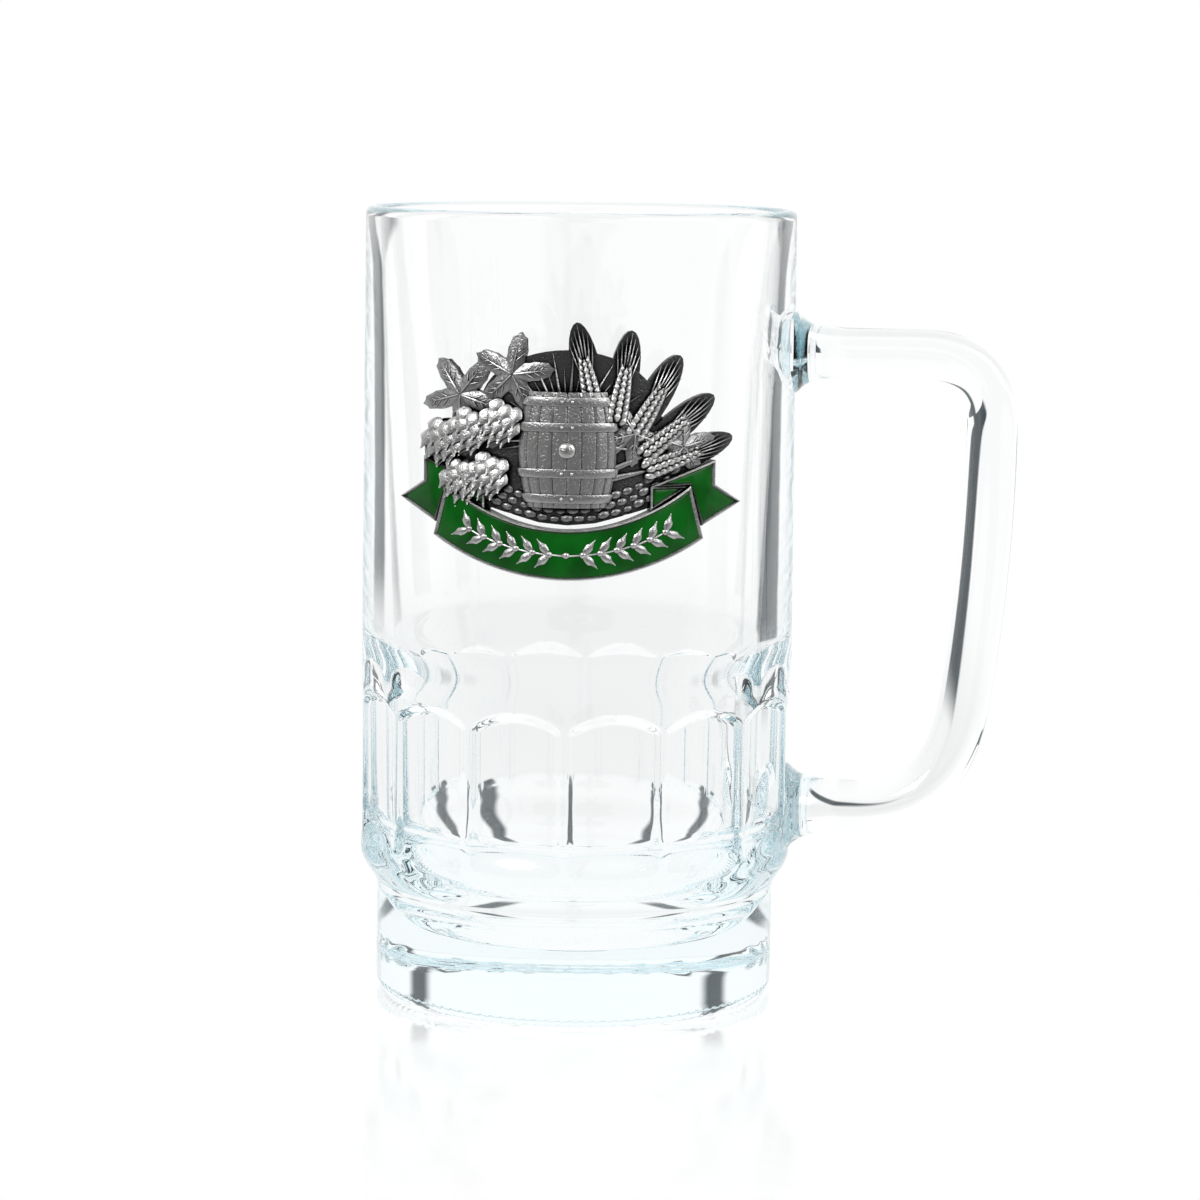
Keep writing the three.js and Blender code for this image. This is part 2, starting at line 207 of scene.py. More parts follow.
def turned(name: str, profile: Sequence[Point], steps: int) -> bpy.types.Object:
    """Spins a profile of (radius, height) points about Z into a closed skin.

    Args:
        name: the new object's name.
        profile: the points, with the first and the last on the axis.
        steps: how many facets go round.

    Returns:
        The new object, at the origin.
    """
    piece = draw_line(name, [(radius, 0.0, height) for radius, height in profile])
    bpy.ops.mesh.spin(steps=steps, angle=2 * math.pi, center=(0, 0, 0), axis=(0, 0, 1))
    bpy.ops.mesh.select_all(action="SELECT")
    bpy.ops.mesh.remove_doubles(threshold=MERGE_DISTANCE)
    face_outwards()
    return piece


def outline_face(name: str, corners: Sequence[Vector]) -> bpy.types.Object:
    """Draws a closed outline corner by corner and fills it with one face.

    Args:
        name: the new object's name.
        corners: the outline's corners in order.

    Returns:
        The new object, at the origin, with its one face selected.
    """
    piece = draw_line(name, corners)
    bpy.ops.mesh.edge_face_add()
    bpy.ops.object.mode_set(mode="OBJECT")
    return piece


def select_where(piece: bpy.types.Object, test: Callable[[Vector], bool]) -> None:
    """Goes into edit mode with the vertices selected whose places pass a test.

    Args:
        piece: the object to edit.
        test: tells whether a vertex at a place is selected.
    """
    activate(piece)
    bpy.ops.object.mode_set(mode="EDIT")
    bpy.ops.mesh.select_mode(type="VERT")
    bpy.ops.mesh.select_all(action="DESELECT")
    bpy.ops.object.mode_set(mode="OBJECT")
    for vertex in piece.data.vertices:
        vertex.select = test(vertex.co)
    bpy.ops.object.mode_set(mode="EDIT")


def kernel(name: str, width: float, length: float, rise: float, tip: float) -> bpy.types.Object:
    """A seed-shaped form, with its foot at the origin and its tip up Z.

    Args:
        name: the new object's name.
        width: its width across X.
        length: its length.
        rise: how far it stands out along -Y.
        tip: how much its tip is drawn in, from 0 for a round one.

    Returns:
        The new object.
    """
    deselect_all()
    bpy.ops.mesh.primitive_uv_sphere_add(segments=SEED_SEGMENTS, ring_count=SEED_RINGS, radius=0.5)
    piece = bpy.context.object
    piece.name = piece.data.name = name
    bpy.ops.object.mode_set(mode="EDIT")
    bpy.ops.transform.resize(value=(width, 2 * rise, length), center_override=(0, 0, 0))
    bpy.ops.transform.translate(value=(0, 0, length / 2))
    if tip:
        for share in TIP_STARTS:
            select_where(piece, lambda place: place.z > share * length)
            bpy.ops.transform.resize(value=(1 - tip, 1 - tip, 1), center_override=(0, 0, 0))
    bpy.ops.object.mode_set(mode="OBJECT")
    return piece


def gather(name: str, parts: Sequence[bpy.types.Object]) -> bpy.types.Object:
    """Joins objects into the first of them.

    Args:
        name: the joined object's name.
        parts: the objects to join.

    Returns:
        The first of them, which holds all the meshes.
    """
    deselect_all()
    for part in parts:
        part.select_set(True)
    bpy.context.view_layer.objects.active = parts[0]
    bpy.ops.object.join()
    parts[0].name = parts[0].data.name = name
    return parts[0]


def sink(piece: bpy.types.Object, weight: Callable[[Vector], float], depth: float) -> None:
    """Presses hollows into a skin.

    Args:
        piece: the object to change.
        weight: how much of the depth a vertex at a place is pressed in, from 0 to 1.
        depth: the full depth.
    """
    group = piece.vertex_groups.new(name="hollows")
    for vertex in piece.data.vertices:
        share = weight(vertex.co)
        if share:
            group.add([vertex.index], share, "REPLACE")
    settings = {"vertex_group": group.name, "direction": "NORMAL", "mid_level": 0.0, "strength": -depth}
    apply_modifier(piece, "DISPLACE", **settings)
    piece.vertex_groups.clear()


def inset(outline: Sequence[Point], distance: float) -> list[Point]:
    """A closed outline drawn in by a distance.

    Args:
        outline: the outline's corners in order.
        distance: how far each side moves in.

    Returns:
        The new corners, in the same order.
    """
    corners = [Vector(p) for p in outline]
    area = sum(a.x * b.y - b.x * a.y for a, b in zip(corners, corners[1:] + corners[:1]))
    turn = math.copysign(distance, area)
    drawn = []
    for i, corner in enumerate(corners):
        before = (corner - corners[i - 1]).normalized()
        after = (corners[(i + 1) % len(corners)] - corner).normalized()
        inward = Vector((-before.y - after.y, before.x + after.x)) * turn / (1 + before.dot(after))
        drawn.append(tuple(corner + inward))
    return drawn


def mirrored(outline: Sequence[Point]) -> list[Point]:
    """An outline flipped from left to right."""
    return [(-x, y) for x, y in reversed(outline)]


def settle(piece: bpy.types.Object, slot: Slot, material: bpy.types.Material, *nodes: str) -> None:
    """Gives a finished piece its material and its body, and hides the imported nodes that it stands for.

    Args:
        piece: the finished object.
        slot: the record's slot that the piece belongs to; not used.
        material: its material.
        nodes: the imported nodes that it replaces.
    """
    piece.data.materials.clear()
    piece.data.materials.append(material)
    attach(piece, BODY)
    if nodes:
        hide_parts(*nodes)
    LOG.info("%s: %d faces", piece.name, len(piece.data.polygons))


# Shader helpers


class Shader:
    """A material's node tree, built node by node."""

    def __init__(self, tree: bpy.types.NodeTree) -> None:
        """Starts with an empty tree."""
        self.tree = tree
        tree.nodes.clear()

    def node(self, kind: str, **settings: object) -> bpy.types.Node:
        """Adds a node.

        Args:
            kind: the node's type, without its ShaderNode prefix.
            settings: attributes to set on it.

        Returns:
            The new node.
        """
        made = self.tree.nodes.new("ShaderNode" + kind)
        for name, value in settings.items():
            setattr(made, name, value)
        return made

    def join(self, source: Value, target: bpy.types.NodeSocket) -> None:
        """Links a socket to an input, or sets a plain value on it.

        Args:
            source: the socket to link, or the value to set.
            target: the input.
        """
        if isinstance(source, bpy.types.NodeSocket):
            self.tree.links.new(source, target)
        else:
            target.default_value = source

    def math(self, operation: str, *values: bpy.types.NodeSocket | float) -> bpy.types.NodeSocket:
        """Adds a Math node and returns its result.

        Args:
            operation: the node's operation.
            values: its inputs in order.

        Returns:
            The node's result.
        """
        made = self.node("Math", operation=operation)
        for value, target in zip(values, made.inputs):
            self.join(value, target)
        return made.outputs[0]

    def finish(self, surface: bpy.types.NodeSocket) -> bpy.types.Node:
        """Links a surface to a new output node.

        Args:
            surface: the shader to show.

        Returns:
            The output node.
        """
        out = self.node("OutputMaterial")
        self.join(surface, out.inputs["Surface"])
        return out

    def ramp(self, value: bpy.types.NodeSocket, low: float, high: float) -> bpy.types.NodeSocket:
        """A smooth step from 0 at low to 1 at high.

        Args:
            value: the value to look at.
            low: where the step starts.
            high: where it ends.

        Returns:
            The step.
        """
        made = self.node("MapRange", interpolation_type="SMOOTHSTEP")
        self.join(value, made.inputs["Value"])
        made.inputs["From Min"].default_value = low
        made.inputs["From Max"].default_value = high
        return made.outputs["Result"]

    def colour(
        self,
        factor: bpy.types.NodeSocket,
        first: bpy.types.NodeSocket | Sequence[float],
        second: bpy.types.NodeSocket | Sequence[float],
    ) -> bpy.types.NodeSocket:
        """Mixes two colours: the first where the factor is 0, the second where it is 1.

        Args:
            factor: the share of the second colour.
            first: the first colour.
            second: the second colour.

        Returns:
            The mixed colour.
        """
        mix = self.node("Mix", data_type="RGBA")
        self.join(factor, mix.inputs["Factor"])
        self.join(first, mix.inputs[6])
        self.join(second, mix.inputs[7])
        return mix.outputs[2]


def grey(level: float) -> tuple[float, float, float, float]:
    """A grey as an opaque colour."""
    return (level, level, level, 1.0)


def new_material(name: str) -> tuple[bpy.types.Material, Shader]:
    """A new empty material and its node tree.

    Args:
        name: the material's name.

    Returns:
        The material and the tree to build in.
    """
    material = bpy.data.materials.new(name)
    material.use_nodes = True
    return material, Shader(material.node_tree)


def grain_group() -> bpy.types.NodeTree:
    """The fine unevenness that the glass, metal, enamel and tape share, built once as a node group.

    Returns:
        The node group.
    """
    group = bpy.data.node_groups.get("grain")
    if group:
        return group
    group = bpy.data.node_groups.new("grain", "ShaderNodeTree")
    for name, value in (("Scale", 100.0), ("Low", 0.0), ("High", 1.0)):
        socket = group.interface.new_socket(name, in_out="INPUT", socket_type="NodeSocketFloat")
        socket.default_value = value
    group.interface.new_socket("Mask", in_out="OUTPUT", socket_type="NodeSocketFloat")
    nodes = Shader(group)
    given = group.nodes.new("NodeGroupInput")
    place = nodes.node("TexCoord")
    noise = nodes.node("TexNoise")
    nodes.join(place.outputs["Object"], noise.inputs["Vector"])
    nodes.join(given.outputs["Scale"], noise.inputs["Scale"])
    spread = nodes.node("MapRange", interpolation_type="SMOOTHSTEP")
    nodes.join(noise.outputs[0], spread.inputs["Value"])
    nodes.join(given.outputs["Low"], spread.inputs["From Min"])
    nodes.join(given.outputs["High"], spread.inputs["From Max"])
    result = group.nodes.new("NodeGroupOutput")
    nodes.join(spread.outputs["Result"], result.inputs["Mask"])
    return group


def grain(nodes: Shader, size: float, low: float, high: float) -> bpy.types.NodeSocket:
    """Places the grain group in a material.

    Args:
        nodes: the material's tree.
        size: how many grains lie on a metre, roughly.
        low: the noise value that gives 0.
        high: the noise value that gives 1.

    Returns:
        The mask.
    """
    placed = nodes.node("Group", node_tree=grain_group())
    for name, value in (("Scale", size), ("Low", low), ("High", high)):
        placed.inputs[name].default_value = value
    return placed.outputs["Mask"]


# Finishes


@dataclass(frozen=True)
class ClearGlass:
    """Fire-polished soda-lime glass: clear, faintly wavy, blue-green where it is thick."""

    ior: float = 1.52
    roughness: float = 0.0
    tint: tuple[float, float, float, float] = (0.36, 0.81, 0.92, 1.0)
    density: float = 2.0
    wave_size: float = 60.0
    wave_height: float = 0.02 * MM
    shadow: float = 0.93

    def material(self) -> bpy.types.Material:
        """Builds the glass, which lets most of the lamps' light through.

        Returns:
            The material.
        """
        material, nodes = new_material("clear_glass")
        glass = nodes.node("BsdfPrincipled")
        glass.inputs["Base Color"].default_value = (1, 1, 1, 1)
        glass.inputs["Roughness"].default_value = self.roughness
        glass.inputs["IOR"].default_value = self.ior
        glass.inputs["Transmission Weight"].default_value = 1.0
        bump = nodes.node("Bump")
        bump.inputs["Distance"].default_value = self.wave_height
        nodes.join(grain(nodes, self.wave_size, 0.0, 1.0), bump.inputs["Height"])
        nodes.join(bump.outputs[0], glass.inputs["Normal"])
        path = nodes.node("LightPath")
        clear = nodes.node("BsdfTransparent")
        clear.inputs["Color"].default_value = grey(self.shadow)
        mix = nodes.node("MixShader")
        nodes.join(path.outputs["Is Shadow Ray"], mix.inputs[0])
        nodes.join(glass.outputs[0], mix.inputs[1])
        nodes.join(clear.outputs[0], mix.inputs[2])
        absorb = nodes.node("VolumeAbsorption")
        absorb.inputs["Color"].default_value = self.tint
        absorb.inputs["Density"].default_value = self.density
        out = nodes.finish(mix.outputs[0])
        nodes.join(absorb.outputs[0], out.inputs["Volume"])
        return material


@dataclass(frozen=True)
class AntiquePewter:
    """Cast pewter, blackened on the ground and in the recesses, and lighter on its edges and high points:
    partly wear, partly a painted highlight.
    """

    dark: Colour = (0.004, 0.004, 0.0045)
    body: Colour = (0.24, 0.24, 0.243)
    # The colour of the edges and high points: worn pewter with a painted highlight.
    bright: Colour = (0.57, 0.566, 0.558)
    roughness: float = 0.32
    recess_reach: float = 2.2 * MM
    recess: Point = (0.45, 1.0)
    ground: Point = (-0.6, 0.7)
    high: Point = (0.3, 1.4)
    proud: Point = (0.1, 0.8)
    # How far the high points are lightened: wear and a painted highlight.
    top_wear_and_highlight_share: float = 0.4
    edge: Point = (0.51, 0.6)
    grain_size: float = 2400.0
    grain_height: float = 0.05 * MM
    speckle: Point = (0.15, 0.55)
    recess_samples: int = 8

    def material(self) -> bpy.types.Material:
        """Builds the metal, whose patina and partly painted highlights follow the relief.

        Returns:
            The material.
        """
        material, nodes = new_material("antique_pewter")
        shade = nodes.node("AmbientOcclusion", samples=self.recess_samples)
        shade.inputs["Distance"].default_value = self.recess_reach
        clear = nodes.ramp(shade.outputs["AO"], *self.recess)
        rise = nodes.node("Attribute", attribute_name=RISE)
        raised = nodes.ramp(rise.outputs["Fac"], *self.ground)
        speckle = grain(nodes, self.grain_size, *self.speckle)
        patina = nodes.math("MULTIPLY", nodes.math("MULTIPLY", clear, raised), speckle)
        base = nodes.colour(patina, (*self.dark, 1), (*self.body, 1))
        shape = nodes.node("NewGeometry")
        # Edges and high points are lightened towards the bright colour: partly wear, partly a painted
        # highlight.
        proud = nodes.ramp(rise.outputs["Fac"], *self.proud)
        edges = nodes.math("MULTIPLY", nodes.ramp(shape.outputs["Pointiness"], *self.edge), proud)
        tops_wear_and_highlight = nodes.math("MULTIPLY", nodes.ramp(rise.outputs["Fac"], *self.high), self.top_wear_and_highlight_share)
        wear_and_highlight = nodes.math("MULTIPLY", nodes.math("MAXIMUM", edges, tops_wear_and_highlight), clear)
        metal = nodes.node("BsdfPrincipled")
        nodes.join(nodes.colour(wear_and_highlight, base, (*self.bright, 1)), metal.inputs["Base Color"])
        metal.inputs["Metallic"].default_value = 1.0
        metal.inputs["Roughness"].default_value = self.roughness
        bump = nodes.node("Bump")
        bump.inputs["Distance"].default_value = self.grain_height
        nodes.join(speckle, bump.inputs["Height"])
        nodes.join(bump.outputs[0], metal.inputs["Normal"])
        nodes.finish(metal.outputs[0])
        return material


@dataclass(frozen=True)
class GreenEnamel:
    """Glossy dark green cold enamel, a little cloudy."""

    deep: Colour = (0.0, 0.036, 0.0015)
    light: Colour = (0.0, 0.07, 0.003)
    roughness: float = 0.2
    gloss: float = 0.2
    cloud_size: float = 160.0
    cloud: Point = (0.3, 0.7)

    def material(self) -> bpy.types.Material:
        """Builds the enamel.

        Returns:
            The material.
        """
        material, nodes = new_material("green_enamel")
        enamel = nodes.node("BsdfPrincipled")
        cloudy = grain(nodes, self.cloud_size, *self.cloud)
        nodes.join(nodes.colour(cloudy, (*self.deep, 1), (*self.light, 1)), enamel.inputs["Base Color"])
        enamel.inputs["Roughness"].default_value = self.roughness
        enamel.inputs["Specular IOR Level"].default_value = self.gloss
        nodes.finish(enamel.outputs[0])
        return material


@dataclass(frozen=True)
class BondingTape:
    """Dark foam tape with a fine grain."""

    low: Colour = (0.03, 0.03, 0.032)
    high: Colour = (0.06, 0.06, 0.062)
    roughness: float = 0.85
    grain_size: float = 1500.0
    foam: Point = (0.3, 0.7)

    def material(self) -> bpy.types.Material:
        """Builds the tape.

        Returns:
            The material.
        """
        material, nodes = new_material("bonding_tape")
        tape = nodes.node("BsdfPrincipled")
        foamy = grain(nodes, self.grain_size, *self.foam)
        nodes.join(nodes.colour(foamy, (*self.low, 1), (*self.high, 1)), tape.inputs["Base Color"])
        tape.inputs["Roughness"].default_value = self.roughness
        nodes.finish(tape.outputs[0])
        return material


# Sub-assemblies


@dataclass
class Vessel:
    """The fused glass: the pressed body with its fluted belt, and the applied handle."""

    height: float = 152 * MM
    rim_radius: float = 41.3 * MM
    body_radius: float = 41.9 * MM
    foot_radius: float = 38.8 * MM
    foot_height: float = 20.3 * MM
    foot_edge: float = 2.5 * MM
    shoulder_height: float = 27.5 * MM
    rim_wall: float = 2.6 * MM
    waist_wall: float = 5.9 * MM
    waist_height: float = 71 * MM
    belt_wall: float = 8.6 * MM
    well_radius: float = 25.5 * MM
    floor_radius: float = 19 * MM
    floor_thickness: float = 12 * MM
    ledge_bottom: float = 22 * MM
    ledge_top: float = 36 * MM
    flute_count: int = 14
    flute_bottom: float = 29.5 * MM
    flute_top: float = 60 * MM
    flute_rise: float = 2 * MM
    flute_depth: float = 1.3 * MM
    arch_flank: float = 1.5 * MM
    foot_flank: float = 4.5 * MM
    rib_width: float = 3.8 * MM
    rib_blend: float = 0.15 * MM
    notch_count: int = 112
    notch_depth: float = 0.12 * MM
    notch_span: Point = (0.1, 0.9)
    facets: int = 560
    row: float = 0.6 * MM
    fine_row: float = 0.38 * MM
    handle_top: float = 124.9 * MM
    handle_bottom: float = 36.6 * MM
    handle_reach: float = 79.5 * MM
    handle_heel: float = 75.3 * MM
    upper_bend: float = 14 * MM
    lower_bend: float = 20 * MM
    handle_thickness: float = 9.6 * MM
    handle_width: float = 13 * MM
    pad_flare: float = 3.4 * MM
    pad_length: float = 9 * MM
    handle_sides: int = 32
    outer_power: float = 4.5
    inner_power: float = 2.0
    smooth_angle: float = 40.0
    finish: ClearGlass = field(default_factory=ClearGlass)

    def profile(self) -> list[Point]:
        """The body's section from the middle of its underside, over the rim, to the middle of its floor.

        Returns:
            The section's points, as radius and height.
        """
        edge = self.foot_edge
        flat = self.foot_radius - edge
        round_rim = self.rim_wall / 2
        foot_top = self.foot_height
        belt_radius = self.body_radius - self.belt_wall
        floor = self.floor_thickness
        inner_rim = self.rim_radius - self.rim_wall
        lip = self.height - round_rim
        section = [(0.0, 0.0), (flat * 0.5, 0.0), (flat - self.row, 0.0)]
        section += arc_points((flat, edge), edge, -90, 0, 8)
        section += run((self.foot_radius, edge + self.row), (self.foot_radius, foot_top - self.row), 4)
        section += s_curve((self.foot_radius, foot_top), (self.body_radius, self.shoulder_height), 16)
        belt = (
            (self.shoulder_height, self.row),
            (self.flute_bottom + self.foot_flank, 2 * self.row),
            (self.flute_top - self.flute_rise - 2 * self.arch_flank, self.fine_row),
            (self.flute_top + self.fine_row, 2 * self.row),
            (self.flute_top + 2 * self.flute_rise, self.row),
        )
        for (low, step), (high, _) in zip(belt, belt[1:]):
            section += run((self.body_radius, low), (self.body_radius, high), round((high - low) / step))[1:]
        section += run(section[-1], (self.rim_radius, lip - self.row), 8)[1:]
        section += arc_points((self.rim_radius - round_rim, lip), round_rim, 0, 180, 12)
        waist = (self.body_radius - self.waist_wall, self.waist_height)
        section += run((inner_rim, lip - self.row), waist, 8)
        section += s_curve(waist, (belt_radius + self.row, self.flute_top), 14)[1:]
        section += run((belt_radius + self.row, self.flute_top), (belt_radius, self.ledge_top), 6)[1:]
        section += s_curve((belt_radius, self.ledge_top), (self.well_radius, self.ledge_bottom), 14)[1:]
        for i in range(1, 13):
            turn = math.pi / 2 * i / 12
            radius = self.floor_radius + (self.well_radius - self.floor_radius) * math.cos(turn)
            section.append((radius, self.ledge_bottom - (self.ledge_bottom - floor) * math.sin(turn)))
        section += [(self.floor_radius - self.row, floor), (self.floor_radius * 0.5, floor), (0.0, floor)]
        return section

    def flute_weight(self, place: Vector) -> float:
        """How deep a point of the belt lies below the plain round wall.

        Each flute is a flat panel with an arched top, and the ribs between the panels are rounded.

        Args:
            place: a point on the outer skin.

        Returns:
            0 on the plain wall, 1 in the middle of a panel.
        """
        if not self.flute_bottom < place.z < self.flute_top or place.xy.length < self.body_radius - self.row:
            return 0.0
        pitch = 2 * math.pi / self.flute_count
        angle = ((math.atan2(place.x, -place.y) / pitch) % 1.0 - 0.5) * pitch
        panel = self.body_radius - (self.body_radius - self.flute_depth) / math.cos(angle)
        from_rib = (pitch / 2 - abs(angle)) * self.body_radius
        half = self.rib_width / 2
        rib = self.body_radius
        if from_rib < half:
            rib = half - math.sqrt(max(half * half - from_rib * from_rib, 0.0))
        soft = self.rib_blend
        depth = -soft * math.log(math.exp(-panel / soft) + math.exp(-min(rib, panel + 20 * soft) / soft))
        across = angle * self.body_radius
        spread = pitch * self.body_radius / 2 - half
        arch = self.flute_rise * (across / spread) ** 2
        crisp = min(max((self.flute_top - arch - place.z) / self.arch_flank, 0.0), 1.0)
        easy = min(max((place.z - self.flute_bottom) / self.foot_flank, 0.0), 1.0)
        return max(depth, 0.0) / self.flute_depth * crisp * easy * easy * (3 - 2 * easy)

    def notch_weight(self, place: Vector) -> float:
        """How deep a point of the foot's lower edge lies in one of the small notches, from 0 to 1.

        Args:
            place: a point on the skin.

        Returns:
            0 outside the notches, 1 in the middle of one.
        """
        low, high = (share * self.foot_edge for share in self.notch_span)
        if not low < place.z < high or place.xy.length < self.foot_radius - self.foot_edge:
            return 0.0
        around = (math.atan2(place.x, place.y) / (2 * math.pi) * self.notch_count) % 1.0
        return max(0.5 - 0.9 * math.cos(2 * math.pi * around), 0.0) / 1.4

    def body(self) -> bpy.types.Object:
        """Turns the body and sinks the flutes into its belt and the notches into its foot.

        Returns:
            The body's object.
        """
        piece = turned("mug_glass", self.profile(), self.facets)
        sink(piece, self.flute_weight, self.flute_depth)
        sink(piece, self.notch_weight, self.notch_depth)
        return piece

    def middle_line(self) -> list[Vector]:
        """Points along the handle's middle line, from inside the wall at its top to its bottom.

        Returns:
            The points in order.
        """
        top, bottom = self.handle_top, self.handle_bottom
        reach, heel = self.handle_reach, self.handle_heel
        grip_top, grip_bottom = top - self.upper_bend, bottom + self.lower_bend
        heel_end = heel - self.lower_bend
        lean = (reach - heel) / (grip_top - grip_bottom)
        root = self.body_radius - self.rim_wall
        low_root = self.body_radius - self.belt_wall / 2
        line = run((root, top), (reach - self.upper_bend, top), 22)
        bends = (
            ((reach - self.upper_bend, top), (reach, top), (reach, grip_top), 12),
            ((reach, grip_top), (reach, (grip_top + grip_bottom) / 2), (heel, grip_bottom), 16),
            ((heel, grip_bottom), (heel - 2 * lean * self.lower_bend, bottom), (heel_end, bottom), 12),
        )
        for start, control, end, steps in bends:
            for i in range(1, steps + 1):
                s = i / steps
                weights = ((1 - s) ** 2, 2 * s * (1 - s), s * s)
                line.append(tuple(
                    sum(w * p[k] for w, p in zip(weights, (start, control, end))) for k in (0, 1)
                ))
        line += run((heel_end, bottom), (low_root, bottom), 18)[1:]
        return [Vector((x, 0, z)) for x, z in line]

    def swell(self, x: float) -> float:
        """How much the handle's half thickness grows into a pad at a distance from the wall."""
        share = min(max(1 - (x - self.body_radius) / self.pad_length, 0.0), 1.0)
        return self.pad_flare * (1 - math.sqrt(1 - share * share))

    def section(self) -> list[Point]:
        """The handle's section, one unit to each side.

        Returns:
            The section's points, squarish on the outer side and rounded on the inner side.
        """
        points = []
        for i in range(self.handle_sides):
            turn = 2 * math.pi * i / self.handle_sides
            power = 2 / (self.outer_power if math.cos(turn) > 0 else self.inner_power)
            up = math.copysign(abs(math.cos(turn)) ** power, math.cos(turn))
            side = math.copysign(abs(math.sin(turn)) ** power, math.sin(turn))
            points.append((side, up))
        return points

    def handle(self) -> bpy.types.Object:
        """Extrudes the section along the middle line, with a flared pad at each end.

        Returns:
            The handle's object.
        """
        line = self.middle_line()
        piece = outline_face("handle_glass", [Vector((0, side, up)) for side, up in self.section()])
        bpy.ops.object.mode_set(mode="EDIT")
        half = [
            (self.handle_width / 2 + self.swell(p.x), self.handle_thickness / 2 + self.swell(p.x))
            for p in line
        ]
        bpy.ops.transform.resize(value=(1, half[0][0], half[0][1]))
        bpy.ops.transform.translate(value=line[0])
        heading = 0.0
        for i in range(1, len(line)):
            ahead = line[min(i + 1, len(line) - 1)] - line[i - 1]
            turn = math.atan2(-ahead.z, ahead.x) - heading
            heading += turn
            bpy.ops.mesh.extrude_region_move(TRANSFORM_OT_translate={"value": line[i] - line[i - 1]})
            if abs(turn) > LEAST_CHANGE:
                bpy.ops.transform.rotate(value=-turn, orient_axis="Y", center_override=line[i])
            grow = (1, half[i][0] / half[i - 1][0], half[i][1] / half[i - 1][1])
            if max(abs(g - 1) for g in grow) > LEAST_CHANGE:
                bpy.ops.transform.resize(value=grow, center_override=line[i])
        face_outwards()
        apply_modifier(piece, "SUBSURF", levels=1, render_levels=1)
        return piece

    def build(self) -> None:
        """Models the body and the handle, fuses them and dresses the glass."""
        piece = self.body()
        handle = self.handle()
        apply_modifier(piece, "BOOLEAN", operation="UNION", solver="MANIFOLD", object=handle)
        discard(handle)
        smooth(piece, self.smooth_angle)
        settle(piece, Slot.GLASS, self.finish.material(), "glass_body", "handle")


